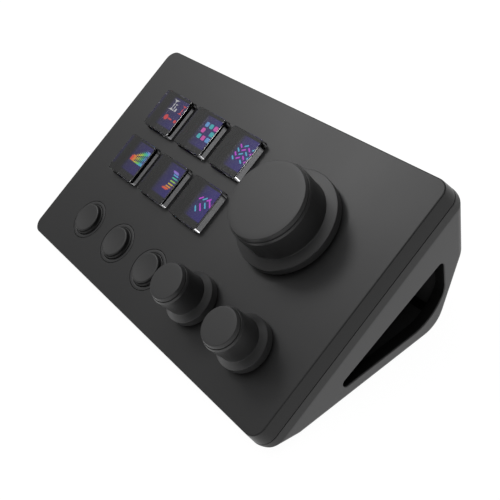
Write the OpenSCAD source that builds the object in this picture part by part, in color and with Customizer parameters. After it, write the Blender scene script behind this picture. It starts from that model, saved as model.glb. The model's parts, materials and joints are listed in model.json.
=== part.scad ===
// Macro keypad with knobs: a wedge-shaped desk unit with six clear display keys,
// three round buttons and three push-and-turn knobs on its sloping face.
// Face coordinates: x to the right, y up the slope, z out of the face, from the face's centre.
// Stand coordinates: x to the right, y to the rear, z up from the housing's flat underside.

/* [Face] */
// Width of the sloping face
face_w = 132; // [128:1:140]
// Depth of the sloping face, along the slope
face_d = 81.8; // [80:0.2:86]
// Tilt of the face above the desk, in degrees
face_tilt = 27; // [25:0.5:29]
// Height of the face's front edge above the underside
front_h = 7.7; // [7.5:0.1:9]
// Corner radius of the face
face_corner_r = 4; // [2:0.5:7]
// Thickness of the cover's plate
cover_t = 2; // [1.6:0.1:2]
// Height of the cover's edge, down to the seam
cover_edge_h = 4.8; // [4.2:0.1:5]
// Small bevel round the top of the cover
cover_bevel = 0.3; // [0.1:0.1:0.6]

/* [Housing] */
// How far each side of the housing stands outside the face
side_overhang = 1.5; // [1.2:0.1:2.5]
// How far the housing stands outside the face at the front and rear
end_overhang = 1.25; // [1.1:0.05:1.6]
// How far the rim leans in to meet the cover
rim_lean = 0.55; // [0.2:0.05:0.7]
// Height of the leaning rim
rim_h = 2.6; // [1.5:0.1:4]
// Wall of the floor and the rear
wall = 2.4; // [1.8:0.1:2.6]
// Wall of the sides, round the windows
side_wall = 3.5; // [3:0.1:5]
// Wall of the sides, above the tray
bay_wall = 2.3; // [1.8:0.1:2.6]
// How far the rear wall stands behind the seam
rear_step = 0.6; // [0.3:0.05:0.9]
// Radius of the upright rear corners
rear_corner_r = 3.2; // [2.4:0.1:4]
// Height of the knee where the rear wall turns in
knee_h = 23; // [21:0.2:24]
// How far the heel lies in front of the rear wall
heel_run = 11.7; // [10.5:0.1:12]
// How far the toe lies behind the face's front edge
toe_run = 12.5; // [12:0.5:15]
// Rise of the underside in front of the toe, in degrees
toe_rise = 13; // [10:0.5:13]
// Radius of the knee and the toe
knee_r = 4; // [2:0.5:6]
// Radius of the heel
heel_r = 9; // [5:0.5:10]
// Radius along the side edges
edge_r = 1.7; // [1:0.1:2.2]

/* [Side windows] */
// Margin between the window and the rear wall
window_rear = 8.7; // [8:0.1:9.5]
// Height of the window's sill above the underside
window_sill = 4.4; // [3.6:0.1:5]
// Height of the window's upper rear corner
window_top = 23.4; // [22.5:0.1:23.8]
// Height of the window's rear knee
window_knee = 12.1; // [11.8:0.1:13]
// How far the window's lower rear corner lies in front of the knee
window_heel_run = 6.3; // [5.5:0.1:7]
// Slope of the window's upper edge, in degrees
window_slope = 23; // [22.5:0.1:24]
// Radius of the window's lower rear corner
window_heel_r = 13.9; // [10:0.1:14.2]
// Radius of the window's rear knee
window_knee_r = 6; // [3:0.5:6]
// Radius of the window's front and upper tips
window_tip_r = 1.45; // [1:0.05:1.6]

/* [Keys] */
// Width of a key cap
key_w = 14.9; // [13.5:0.1:15.2]
// Depth of a key cap
key_d = 14.7; // [13.5:0.1:15.2]
// Corner radius of a key cap
key_corner_r = 1; // [0.6:0.1:2]
// Height of a key cap above the face
key_h = 2.6; // [2:0.1:4]
// Bevel round the top of a key cap
key_bevel = 0.3; // [0.1:0.05:0.5]
// Distance between key columns
key_pitch_x = 19.4; // [19.2:0.1:20.5]
// Distance between key rows
key_pitch_y = 19.75; // [19.2:0.05:20.5]
// Place of the middle column, as a share of the face's width
keys_across = -0.1712; // [-0.18:0.0002:-0.166]
// Place of the middle between the two rows, as a share of the face's depth
keys_up = 0.1174; // [0.1:0.0002:0.13]
// Gap between a key cap and its opening
key_gap = 0.2; // [0.15:0.05:0.5]
// Travel of a key
key_travel = 0.8; // [0.5:0.1:0.9]

/* [Buttons] */
// Radius of a button cap
button_r = 6; // [5:0.1:6.2]
// Radius of a button's raised top
button_top_r = 5.15; // [4.2:0.05:5.3]
// Height of a button above the face
button_h = 1.6; // [1:0.1:3]
// Radius of the ring round a button
button_ring_r = 6.95; // [6.9:0.05:7.6]
// Place of the button row, as a share of the face's depth
buttons_up = -0.3148; // [-0.33:0.0002:-0.306]
// Travel of a button
button_travel = 0.8; // [0.4:0.1:0.9]

/* [Knobs] */
// Radius of the large knob's skirt
large_skirt_r = 16.1; // [14.5:0.1:17]
// Radius of the large knob's grip
large_grip_r = 12.95; // [11:0.05:13.5]
// Radius of a small knob's skirt
small_skirt_r = 8.1; // [7.6:0.1:9]
// Radius of a small knob's grip
small_grip_r = 6.35; // [6:0.05:6.8]
// Height of the knobs above the face
knob_h = 14.5; // [13.5:0.1:17]
// Gap under the knobs
knob_gap = 0.9; // [0.8:0.1:1.5]
// Top of the skirt's upright rim
skirt_rim_h = 3.5; // [3.2:0.1:4]
// Foot of the large knob's grip
large_grip_foot = 4.2; // [4.1:0.1:5]
// Foot of a small knob's grip
small_grip_foot = 5.1; // [4.2:0.1:5.6]
// Place of the large knob across, as a share of the face's width
large_knob_across = 0.239; // [0.22:0.001:0.256]
// Place of the large knob up the slope, as a share of the face's depth
large_knob_up = 0.1247; // [0.11:0.0001:0.14]
// Place of the middle between the two small knobs, as a share of the face's width
small_knobs_across = 0.2515; // [0.244:0.0005:0.26]
// Distance between the two small knobs, as a share of the face's width
small_knob_spread = 0.1909; // [0.18:0.0001:0.202]
// Place of the small knobs up the slope, as a share of the face's depth
small_knobs_up = -0.2885; // [-0.298:0.0005:-0.27]
// Push travel of a knob
knob_travel = 0.5; // [0.3:0.1:0.6]
// Radius of an encoder's shaft
shaft_r = 3; // [2.5:0.1:3]
// Running clearance of the shaft in its bushing
shaft_gap = 0.05; // [0.02:0.01:0.08]

/* [Inside] */
// Depth of the main board's top below the face
board_depth = 8.6; // [8.4:0.1:9]
// Thickness of the main board
board_t = 1.6; // [1:0.1:1.6]
// Depth of the tray's underside below the face
tray_depth = 12.8; // [12.6:0.1:13.2]
// Thickness of the tray
tray_t = 1.4; // [1:0.1:1.6]
// Radius of the cover's screw bosses
boss_r = 3; // [2.4:0.1:3.2]
// Radius of the screws' shanks
screw_r = 1; // [0.8:0.1:1.2]
// Radius of the screws' heads
screw_head_r = 2; // [1.8:0.1:2.2]
// Height of the screws' heads
screw_head_h = 1.2; // [0.8:0.1:1.4]

/* [Feet] */
// Length of a rubber foot
foot_l = 16; // [10:1:24]
// Width of a rubber foot
foot_w = 7; // [5:0.5:8]
// How far a foot stands below the housing
foot_proud = 0.5; // [0.3:0.1:1]
// Depth of a foot's recess
foot_recess = 1; // [0.6:0.1:1.2]
// How far the middle of a foot lies inside the side of the housing
foot_inset = 17.5; // [13.5:0.5:26]
// How far the middle of a front foot lies behind the toe
foot_behind_toe = 7; // [6:0.5:9]
// How far the middle of a rear foot lies in front of the heel
foot_before_heel = 11; // [10:0.5:13]

/* [Hidden] */
$fn = 48;
KEYS = 6;
COLUMNS = 3;
BUTTONS = 3;
SIDES = ["large", "left", "right"];

far = 200;                // longer than the whole unit
snug = 0.2;               // clearance between fixed pieces

// Housing, in stand coordinates
body_half_w = face_w / 2 + side_overhang;
flare_side = side_overhang - rim_lean;
flare_end = end_overhang - rim_lean;
rim_slope = rim_lean / rim_h;
face_centre_h = front_h + face_d / 2 * sin(face_tilt);
seam_half_d = face_d / 2 + flare_end;
rear_y = seam_half_d * cos(face_tilt) + cover_edge_h * sin(face_tilt) + rear_step;
toe_y = -face_d / 2 * cos(face_tilt) + toe_run;
heel_y = rear_y - heel_run;
front_y = -rear_y - far / 4;
STAND = [
    [front_y, (toe_y - front_y) * tan(toe_rise)],
    [toe_y, 0],
    [heel_y, 0],
    [rear_y, knee_h],
    [rear_y, far],
    [front_y, far]
];
STAND_R = [0, knee_r, heel_r, knee_r, 0, 0];
bay_half_w = body_half_w - bay_wall;
bay_half_d = face_d / 2 + end_overhang - wall;

// Side window
window_y = rear_y - window_rear;
window_tip_y = window_y - (window_top - window_sill) / tan(window_slope);
WINDOW = [
    [window_tip_y, window_sill],
    [window_y - window_heel_run, window_sill],
    [window_y, window_knee],
    [window_y, window_top]
];
WINDOW_R = [window_tip_r, window_heel_r, window_knee_r, window_tip_r];

// Origin: under the middle of the bounding box, on the desk
front_reach = face_d / 2 * cos(face_tilt) - cover_bevel * sin(face_tilt);
stand_y = (front_reach - rear_y) / 2;

// Keys, in face coordinates
keys_x = keys_across * face_w;
keys_y = keys_up * face_d;
cap_bottom = -3;
flange_w = 0.8;
flange_h = 0.7;
well_gap = 0.25;
collar_w = 0.85;
collar_bottom = -6.4;
leg_bottom = cap_bottom - (board_depth + cap_bottom - key_travel - 0.2);
leg_w = 3.2;
well_x = key_w + 2 * (collar_w + well_gap);
well_y = key_d + 2 * (collar_w + well_gap);
frame_wall = 2;
frame_bottom = -7;
collar_t = 1.35;
display_gap = 0.35;
display_x = key_w + 2 * (collar_w - collar_t - display_gap);
display_y = key_d + 2 * (collar_w - collar_t - display_gap);
display_top = -4.6;
display_t = 1.6;
display_step = 0.4;
dome_r = 0.9;
dome_t = 0.15;
KEY_AT = [for (k = [0:KEYS - 1]) [
    keys_x + (k % COLUMNS - 1) * key_pitch_x,
    keys_y + (k < COLUMNS ? 0.5 : -0.5) * key_pitch_y
]];

// Buttons: one under each key column
button_gap = 0.3;
ring_gap = 0.15;
ring_flange = 0.95;
ring_flange_t = 0.8;
button_flange = 0.8;
button_flange_t = 0.8;
button_flange_top = -cover_t - ring_flange_t - snug;
button_bottom = button_flange_top - button_flange_t;
switch_w = 6.2;
switch_top = button_bottom - button_travel - 0.6;
plunger_r = 1.7;
plunger_gap = 0.3;
plunger_bottom = switch_top - 1.8;
BUTTON_AT = [for (b = [0:BUTTONS - 1]) [keys_x + (b - 1) * key_pitch_x - 0.6, buttons_up * face_d]];

// Knobs and encoders
large_knob_x = large_knob_across * face_w;
large_knob_y = large_knob_up * face_d;
small_knobs_x = small_knobs_across * face_w;
small_knobs_y = small_knobs_up * face_d;
small_knob_pitch = small_knob_spread * face_w;
KNOB_AT = [
    [large_knob_x, large_knob_y],
    [small_knobs_x - small_knob_pitch / 2, small_knobs_y],
    [small_knobs_x + small_knob_pitch / 2, small_knobs_y]
];
SKIRT_R = [large_skirt_r, small_skirt_r, small_skirt_r];
GRIP_R = [large_grip_r, small_grip_r, small_grip_r];
GRIP_FOOT = [large_grip_foot, small_grip_foot, small_grip_foot];
encoder_w = 12;
encoder_top = -cover_t - 0.6;
bushing_r = shaft_r + 0.5;
bushing_top = 2.4;
bushing_gap = 0.4;
rotor_r = shaft_r + 1.5;
rotor_t = 1;
rotor_gap = 0.25;
rotor_bottom = -6.4;
push_r = 3.6;
push_floor = -board_depth + 0.3;
shaft_bottom = push_floor + knob_travel + 0.4;
shaft_flat = 0.55 * shaft_r;
hub_bottom = bushing_top + knob_travel + 0.3;
hub_r = shaft_r + 1.5;
knob_wall = 1.4;
ridge_top = knob_h - 1.5;
cap_seat = knob_h - 2.4;
ridge_w = 0.45;
groove_w = 0.25;
cap_round = 0.5;
spigot_r = 3.6;
spigot_l = 1.2;
shaft_top = cap_seat - spigot_l - 0.4;
rib_w = 1;
RIBS = 6;

// Screws: four near the corners of the tray, two between the keys and the knobs, two in the base
screw_side = 8;
screw_rear = 12;
screw_front = 21;
screw_base = 5.4;
frame_w = (COLUMNS - 1) * key_pitch_x + well_x + 2 * frame_wall;
frame_d = key_pitch_y + well_y + 2 * frame_wall;
rear_screw_x = keys_x + frame_w / 2 + boss_r + 1.85;
front_screw_x = (BUTTON_AT[BUTTONS - 1].x + button_ring_r + ring_flange + KNOB_AT[1].x - encoder_w / 2) / 2;
TRAY_SCREWS = [for (x = [-1, 1]) each [
    [x * (face_w / 2 - screw_side), face_d / 2 - screw_rear],
    [x * (face_w / 2 - screw_side), -face_d / 2 + screw_front]
]];
MID_SCREWS = [[rear_screw_x, face_d / 2 - screw_rear], [front_screw_x, -face_d / 2 + screw_front]];
CASE_SCREWS = concat(TRAY_SCREWS, MID_SCREWS);
BASE_SCREWS = [for (x = [-1, 1]) [x * (body_half_w - foot_inset), -face_d / 2 + screw_base]];
pilot_gap = 0.05;
shank_gap = 0.25;
shank_l = 6;
base_seat = -7;
base_boss_r = screw_head_r + 1.6;
base_boss_top = base_seat + 1.4;
board_front = -face_d / 2 + 9.4;
board_rear = face_d / 2 - 8.9;
board_half_w = face_w / 2 - 5;
tray_front = -face_d / 2 + 13.9;
tray_rear = face_d / 2 - 6.9;
tongue_h = 1.4;
tongue_t = 1.3;
tongue_front = -face_d / 2 + 7;

// Socket, in stand coordinates
usb_below_seam = 5.7;
usb_z = face_centre_h + seam_half_d * sin(face_tilt) - cover_edge_h * cos(face_tilt) - usb_below_seam;
usb_w = 9;
usb_h = 3.2;
usb_shell_t = 0.3;
usb_recess = 0.35;
usb_tongue = [6.7, 0.7];
usb_board_size = [18, 1.2, 6.4];
usb_post_l = 1.4;
usb_post_r = 1.4;
usb_post_x = 7;

// An arc of radius r that rounds the corner p1 between its neighbours p0 and p2
function turn(a) = a > 180 ? a - 360 : a < -180 ? a + 360 : a;
function corner(p0, p1, p2, r, steps) =
    let (
        u = (p0 - p1) / norm(p0 - p1),
        w = (p2 - p1) / norm(p2 - p1),
        half = acos(u * w) / 2,
        c = p1 + (u + w) / norm(u + w) * r / sin(half),
        s = p1 + u * r / tan(half) - c,
        e = p1 + w * r / tan(half) - c,
        from = atan2(s.y, s.x),
        sweep = turn(atan2(e.y, e.x) - from)
    )
    [for (i = [0:steps]) c + r * [cos(from + sweep * i / steps), sin(from + sweep * i / steps)]];

// A polygon with each corner rounded to its own radius
function rounded(points, radii, steps = 6) =
    let (n = len(points))
    [for (i = [0:n - 1]) each
        radii[i] > 0
            ? corner(points[(i + n - 1) % n], points[i], points[(i + 1) % n], radii[i], steps)
            : [points[i]]];

// The same polygon, anticlockwise, with each side moved in by its own d
function inward(a, b) = [a.y - b.y, b.x - a.x] / norm(b - a);
function inset(points, d) =
    let (n = len(points))
    [for (i = [0:n - 1]) let (
        before = inward(points[(i + n - 1) % n], points[i]),
        after = inward(points[i], points[(i + 1) % n]),
        d0 = d[(i + n - 1) % n],
        d1 = d[i]
    ) points[i] + [d0 * after.y - d1 * before.y, d1 * before.x - d0 * after.x]
        / (before.x * after.y - before.y * after.x)];
function inset_radii(radii, d) = [for (r = radii) r > 0 ? max(r - d, 0.1) : 0];

// Frames
module in_stand() translate([0, stand_y, foot_proud]) children();
module on_face() in_stand() translate([0, 0, face_centre_h]) rotate([face_tilt, 0, 0]) children();
module at(places) for (p = places) translate([p.x, p.y, 0]) children();

// A closed skin over a stack of outlines that have the same number of points
module loft(outlines) {
    n = len(outlines[0]);
    m = len(outlines);
    polyhedron(
        points = [for (o = outlines) each o],
        faces = concat(
            [[for (i = [0:n - 1]) i]],
            [for (j = [0:m - 2], i = [0:n - 1])
                [j * n + i, (j + 1) * n + i, (j + 1) * n + (i + 1) % n, j * n + (i + 1) % n]],
            [[for (i = [n - 1:-1:0]) (m - 1) * n + i]]
        )
    );
}
// The outline of a plate with round corners, at height z
function plate_outline(w, d, r, z, steps = 8) = [for (q = [0:3], i = [0:steps])
    let (a = 90 * (q + i / steps), x = q == 0 || q == 3 ? 1 : -1, y = q < 2 ? 1 : -1)
    [x * (w / 2 - r) + r * cos(a), y * (d / 2 - r) + r * sin(a), z]];
// A face-shaped outline that has grown by dx at the sides, dy at the ends
function face_outline(dx, dy, z) =
    plate_outline(face_w + 2 * dx, face_d + 2 * dy, face_corner_r + min(dx, dy), z);
// The housing's side profile at a distance from its side face: the rear wall turns in at the
// larger corner radius, all the other edges at the small one
function dip(r, from_side) = from_side < r ? r - sqrt(max(r * r - pow(r - from_side, 2), 0)) : 0;
function side_outline(x, from_side) =
    let (d = dip(edge_r, from_side))
    [for (p = rounded(inset(STAND, [d, d, d, dip(rear_corner_r, from_side), d, d]), inset_radii(STAND_R, d), 8))
        [x, p.x, p.y]];

// A plate with round corners, from z = 0 up to h
module plate(w, d, r, h) {
    linear_extrude(h) rounded_rect(w, d, r);
}
module rounded_rect(w, d, r) {
    square([w - 2 * r, d], center = true);
    square([w, d - 2 * r], center = true);
    for (x = [-1, 1], y = [-1, 1]) translate([x * (w / 2 - r), y * (d / 2 - r)]) circle(r);
}
module stadium(w, d) {
    square([w - d, d], center = true);
    for (x = [-1, 1]) translate([x * (w - d) / 2, 0]) circle(d = d);
}
module tube(w, d, r, t, h) {
    linear_extrude(h) difference() {
        rounded_rect(w, d, r);
        square([w - 2 * t, d - 2 * t], center = true);
    }
}
module peg(r, low, high) translate([0, 0, low]) cylinder(r = r, h = high - low);
module sideways(points, half_w) {
    translate([-half_w, 0, 0]) rotate([90, 0, 90]) linear_extrude(2 * half_w) polygon(points);
}
// A shaft's section with one flat
module flatted(r, flat, low, high) {
    translate([0, 0, low]) linear_extrude(high - low) difference() {
        circle(r);
        translate([flat, -2 * r]) square(4 * r);
    }
}

// Top cover: a shallow tray turned over, with its openings, screw bosses and a locating tongue
module top_cover() color("#3c3c3e") on_face() {
    difference() {
        cover_shell();
        for (k = KEY_AT) translate([k.x, k.y, -cover_t - 1])
            plate(key_w + 2 * key_gap, key_d + 2 * key_gap, key_corner_r + key_gap, cover_t + 2);
        at(BUTTON_AT) peg(button_ring_r + ring_gap, -cover_t - 1, 1);
        at(KNOB_AT) peg(bushing_r + bushing_gap, -cover_t - 1, 1);
    }
    difference() {
        union() {
            at(CASE_SCREWS) peg(boss_r, -tray_depth + tray_t, -cover_t);
            at(BASE_SCREWS) peg(boss_r - 0.2, base_boss_top + 0.1, -cover_t);
        }
        at(CASE_SCREWS) peg(screw_r + pilot_gap, -far, -tray_depth + tray_t + shank_l + 1);
        at(BASE_SCREWS) peg(screw_r + pilot_gap, -far, -cover_t - 0.6);
    }
    cover_tongue();
}
module cover_shell() {
    difference() {
        loft([
            face_outline(flare_side, flare_end, -cover_edge_h),
            face_outline(0, 0, -cover_bevel),
            face_outline(-cover_bevel, -cover_bevel, 0)
        ]);
        translate([0, 0, -cover_edge_h - 1])
            plate(2 * (bay_half_w - snug - tongue_t), 2 * (bay_half_d - snug - tongue_t), face_corner_r / 2,
                cover_edge_h + 1 - cover_t);
    }
}
module cover_tongue() {
    tongue_w = 2 * (bay_half_w - snug);
    tongue_d = 2 * (bay_half_d - snug);
    translate([0, 0, -cover_edge_h - tongue_h]) difference() {
        tube(tongue_w, tongue_d, face_corner_r / 2, tongue_t, tongue_h);
        translate([-far, tongue_front - far, -1]) cube([2 * far, far, tongue_h + 2]);
        translate([-far, -tongue_front + 2, -1]) cube([2 * far, far, tongue_h + 2]);
    }
}

// Base housing: the moulded wedge, open at both sides through a rounded three-cornered window
module base_housing() color("#2c2c2e") difference() {
    housing_block();
    difference() {
        union() {
            lower_space();
            bay_space();
        }
        on_face() at(BASE_SCREWS) peg(base_boss_r, -far, base_boss_top);
        in_stand() usb_posts();
    }
    in_stand() sideways(rounded(WINDOW, WINDOW_R), far);
    on_face() at(BASE_SCREWS) {
        peg(screw_r + shank_gap, -far, far);
        peg(screw_head_r + 2 * snug, -far, base_seat);
    }
    in_stand() usb_hole();
    in_stand() at(FEET) translate([0, 0, -1]) foot_shape(snug, foot_recess + 1);
}
// The rounded wedge, cut by the cone of the leaning rim and by the plane of the seam
module housing_block() intersection() {
    in_stand() loft(concat(
        [for (a = [90:-10:0]) side_outline(-body_half_w + from_side(a), from_side(a))],
        [for (a = [0:10:90]) side_outline(body_half_w - from_side(a), from_side(a))]
    ));
    on_face() loft([for (z = [-far / 2, 2]) face_outline(
        flare_side - rim_slope * (z + cover_edge_h),
        flare_end - rim_slope * (z + cover_edge_h), z)]);
    on_face() translate([-far, -far, -cover_edge_h - far]) cube([2 * far, 2 * far, far]);
}
function from_side(a) = rear_corner_r * (1 - sin(a));
module inner_block(half_w) {
    in_stand() sideways(rounded(inset(STAND, [for (p = STAND) wall]), inset_radii(STAND_R, wall)), half_w);
}
module lower_space() intersection() {
    inner_block(body_half_w - side_wall);
    on_face() translate([-far, -far, -far - tray_depth + tray_t / 2]) cube([2 * far, 2 * far, far]);
}
module bay_space() intersection() {
    inner_block(bay_half_w);
    on_face() translate([0, 0, -tray_depth]) plate(2 * bay_half_w, 2 * bay_half_d, face_corner_r / 2 + snug, far / 2);
}

// Inner tray: the sloping floor under the board, resting on the ledges of the side walls
module inner_tray() color("#1e1e20") on_face() difference() {
    union() {
        translate([0, (tray_front + tray_rear) / 2, -tray_depth])
            plate(2 * (bay_half_w - snug), tray_rear - tray_front, 1, tray_t);
        at(CASE_SCREWS) peg(boss_r + 1.6, -tray_depth + tray_t / 2, -board_depth - board_t);
    }
    at(CASE_SCREWS) {
        peg(screw_r + shank_gap, -far, far);
        peg(boss_r + snug, -tray_depth + tray_t, far);
    }
}

// Main board, with its processor and two connectors
module main_board() color("#1c4a36") on_face() difference() {
    union() {
        translate([0, (board_front + board_rear) / 2, -board_depth - board_t])
            plate(2 * board_half_w, board_rear - board_front, 2, board_t);
        translate([board_half_w - 14, board_rear - 10, -board_depth]) cube([10, 10, 2.4], center = true);
        translate([-board_half_w + 3.5, keys_y, -board_depth]) cube([3, 16, 4], center = true);
        translate([rear_screw_x + boss_r + 5, board_rear - 3, -board_depth]) cube([8, 3, 4], center = true);
    }
    at(CASE_SCREWS) peg(boss_r + snug, -far, far);
}

// Displays: six small modules, each on its own stand, under the key caps
module displays() color("#101014") on_face() at(KEY_AT) {
    box_at(display_x - 2 * display_step, display_y - 2 * display_step, -board_depth, display_top - display_t);
    box_at(display_x, display_y, display_top - display_t, display_top);
}
module box_at(w, d, low, high) translate([-w / 2, -d / 2, low]) cube([w, d, high - low]);

// Key frame: the grid of wells that guides the collars, fixed under the cover
module key_frame() color("#202022") on_face() difference() {
    translate([keys_x, keys_y, frame_bottom]) plate(frame_w, frame_d, 1.5, -cover_t - frame_bottom);
    for (k = KEY_AT) translate([k.x, k.y, 0]) box_at(well_x, well_y, frame_bottom - 1, 0);
}

// Snap domes: one under each corner of each collar
module key_domes() color("#c8c8c4") on_face() at(KEY_AT)
    for (x = [-1, 1], y = [-1, 1])
        translate([x * (well_x / 2 - well_gap - dome_r), y * (well_y / 2 - well_gap - dome_r), 0])
            peg(dome_r, -board_depth, -board_depth + dome_t);

// Key cap: a clear block with a flange that the cover holds in
module key_cap(k) color("#b8c0cc", 0.5) on_face() at([KEY_AT[k]]) {
    loft([
        plate_outline(key_w, key_d, key_corner_r, cap_bottom, 4),
        plate_outline(key_w, key_d, key_corner_r, key_h - key_bevel, 4),
        plate_outline(key_w - 2 * key_bevel, key_d - 2 * key_bevel, key_corner_r - key_bevel, key_h, 4)
    ]);
    translate([0, 0, cap_bottom])
        plate(key_w + 2 * flange_w, key_d + 2 * flange_w, key_corner_r, flange_h);
}

// Key collar: the square tube under a cap, with a leg at each corner that presses the domes
module key_collar(k) color("#28282a") on_face() at([KEY_AT[k]]) {
    w = key_w + 2 * collar_w;
    d = key_d + 2 * collar_w;
    translate([0, 0, collar_bottom]) tube(w, d, key_corner_r, collar_t, cap_bottom - collar_bottom);
    intersection() {
        translate([0, 0, leg_bottom]) tube(w, d, key_corner_r, collar_t, collar_bottom - leg_bottom);
        for (x = [-1, 1], y = [-1, 1]) translate([x * w / 2, y * d / 2, 0])
            box_at(2 * leg_w, 2 * leg_w, leg_bottom, collar_bottom);
    }
}

// Button rings: thin bezels pushed up into the cover from below
module button_rings() color("#343436") on_face() at(BUTTON_AT) rotate_extrude() {
    ring_in = button_r + button_gap;
    polygon([
        [ring_in, -cover_t - ring_flange_t],
        [button_ring_r + ring_flange, -cover_t - ring_flange_t],
        [button_ring_r + ring_flange, -cover_t],
        [button_ring_r, -cover_t],
        [button_ring_r, 0],
        [ring_in, 0]
    ]);
}

// Button cap: a stepped disc with a hollowed flank and a rounded top edge
module button_cap(b) color("#38383a") on_face() at([BUTTON_AT[b]]) rotate_extrude()
    polygon(concat(
        [[0, button_bottom], [button_r + button_flange, button_bottom]],
        [[button_r + button_flange, button_flange_top], [button_r, button_flange_top]],
        [for (a = [0:15:75]) button_flank(a)],
        [for (a = [0:22.5:90]) [button_top_r - button_round, button_h - button_round] + button_round * [cos(a), sin(a)]],
        [[0, button_h]]
    ));
button_round = 0.45;
button_foot = 0.15;
// A quarter ellipse that falls from the upright rim of the top to the foot of the cap
function button_flank(a) = [
    button_r - (button_r - button_top_r) * sin(a),
    button_foot + (button_h - button_round - button_foot) * (1 - cos(a))
];

// Button plunger: the round actuator between a cap and its switch
module button_plunger(b) color("#141414") on_face() at([BUTTON_AT[b]]) peg(plunger_r, plunger_bottom, button_bottom);

// Button switches: three moulded bodies with a socket for the plunger
module button_switches() color("#18181a") on_face() at(BUTTON_AT) difference() {
    box_at(switch_w, switch_w, -board_depth, switch_top);
    peg(plunger_r + plunger_gap, plunger_bottom - button_travel - snug, 0);
}

// Knob: skirt, grip and ridge are one moulding, hollow underneath, with a flatted bore for the shaft
module knob(s) color("#1c1c1e") on_face() at([KNOB_AT[s]]) difference() {
    union() {
        difference() {
            rotate_extrude($fn = 96) polygon(knob_outline(s));
            peg(SKIRT_R[s] - knob_wall, 0, skirt_rim_h - knob_wall);
            peg(GRIP_R[s] - knob_wall, 0, s == 0 ? cap_seat - spigot_l - knob_wall : GRIP_FOOT[s] - 1);
        }
        peg(hub_r, hub_bottom, cap_seat - spigot_l);
        if (s == 0) for (i = [0:RIBS - 1]) rotate([0, 0, i * 360 / RIBS])
            translate([hub_r - 0.5, -rib_w / 2, GRIP_FOOT[s]])
                cube([GRIP_R[s] - knob_wall - hub_r + 1, rib_w, cap_seat - spigot_l - knob_wall - GRIP_FOOT[s]]);
    }
    flatted(shaft_r + shaft_gap, shaft_flat + shaft_gap, 0, shaft_top + snug);
}
function knob_outline(s) = [
    [0, knob_gap],
    [SKIRT_R[s] - 0.2, knob_gap],
    [SKIRT_R[s], knob_gap + 0.2],
    [SKIRT_R[s], skirt_rim_h - 0.2],
    [SKIRT_R[s] - 0.2, skirt_rim_h],
    [GRIP_R[s] + 0.15, GRIP_FOOT[s]],
    [GRIP_R[s], GRIP_FOOT[s] + 0.15],
    [GRIP_R[s], ridge_top - 0.2],
    [GRIP_R[s] - 0.2, ridge_top],
    [GRIP_R[s] - ridge_w, ridge_top],
    [GRIP_R[s] - ridge_w, cap_seat],
    [spigot_r + snug / 4, cap_seat],
    [spigot_r + snug / 4, cap_seat - spigot_l],
    [0, cap_seat - spigot_l]
];

// Knob cap: the flat disc on top, with a rounded edge and a spigot below
module knob_cap(s) color("#3a3a3c") on_face() at([KNOB_AT[s]]) rotate_extrude($fn = 96) {
    r = GRIP_R[s] - ridge_w - groove_w;
    polygon(concat(
        [[0, cap_seat - spigot_l], [spigot_r, cap_seat - spigot_l], [spigot_r, cap_seat], [r, cap_seat]],
        [for (a = [0:15:90]) [r - cap_round, knob_h - cap_round] + cap_round * [cos(a), sin(a)]],
        [[0, knob_h]]
    ));
}

// Shaft: round in the bushing, flatted in the knob above and in the rotor below
module shaft(s) color("#b4b4b0") on_face() at([KNOB_AT[s]]) {
    flatted(shaft_r, shaft_flat, shaft_bottom, rotor_top());
    peg(shaft_r, rotor_top(), hub_bottom);
    flatted(shaft_r, shaft_flat, hub_bottom, shaft_top);
}
function rotor_top() = rotor_bottom + rotor_t + knob_travel + 0.3;

// Rotor: the contact disc that turns with the shaft while the shaft slides through it
module rotor(s) color("#d8d2c0") on_face() at([KNOB_AT[s]]) difference() {
    peg(rotor_r, rotor_bottom, rotor_bottom + rotor_t);
    flatted(shaft_r + shaft_gap, shaft_flat + shaft_gap, -far, far);
}

// Encoder: body and threaded bushing, with the rotor's chamber and the push switch's chamber inside
module encoder(s) color("#8c8c88") on_face() at([KNOB_AT[s]]) difference() {
    union() {
        box_at(encoder_w, encoder_w, -board_depth, encoder_top);
        peg(bushing_r, encoder_top, bushing_top);
    }
    peg(shaft_r + shaft_gap, push_floor, far);
    peg(rotor_r + rotor_gap, rotor_bottom - rotor_gap, rotor_top() + snug);
    peg(push_r, push_floor, rotor_bottom);
}

// Push domes: one at the bottom of each encoder
module push_domes() color("#c8c8c4") on_face() at(KNOB_AT) peg(push_r - 0.4, push_floor, push_floor + dome_t);

// Screws: round heads with a plain shank
module screw(low, length) {
    peg(screw_head_r, low, low + screw_head_h);
    peg(screw_r, low + screw_head_h, low + screw_head_h + length);
}
module tray_screws() color("#9a9a96") on_face() at(CASE_SCREWS)
    screw(-tray_depth - screw_head_h, tray_t + shank_l);
module base_screws() color("#9a9a96") on_face() at(BASE_SCREWS)
    screw(base_seat - screw_head_h, -cover_t - 1 - base_seat);

// Feet: oblong rubber pads in shallow recesses
FEET = [for (y = [toe_y + foot_behind_toe, heel_y - foot_before_heel], x = [-1, 1])
    [x * (body_half_w - foot_inset), y]];
module foot_shape(grow, h) {
    linear_extrude(h) stadium(foot_l + 2 * grow, foot_w + 2 * grow);
}
module foot(i) color("#242424") in_stand() at([FEET[i]])
    translate([0, 0, -foot_proud]) foot_shape(0, foot_proud + foot_recess);

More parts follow.
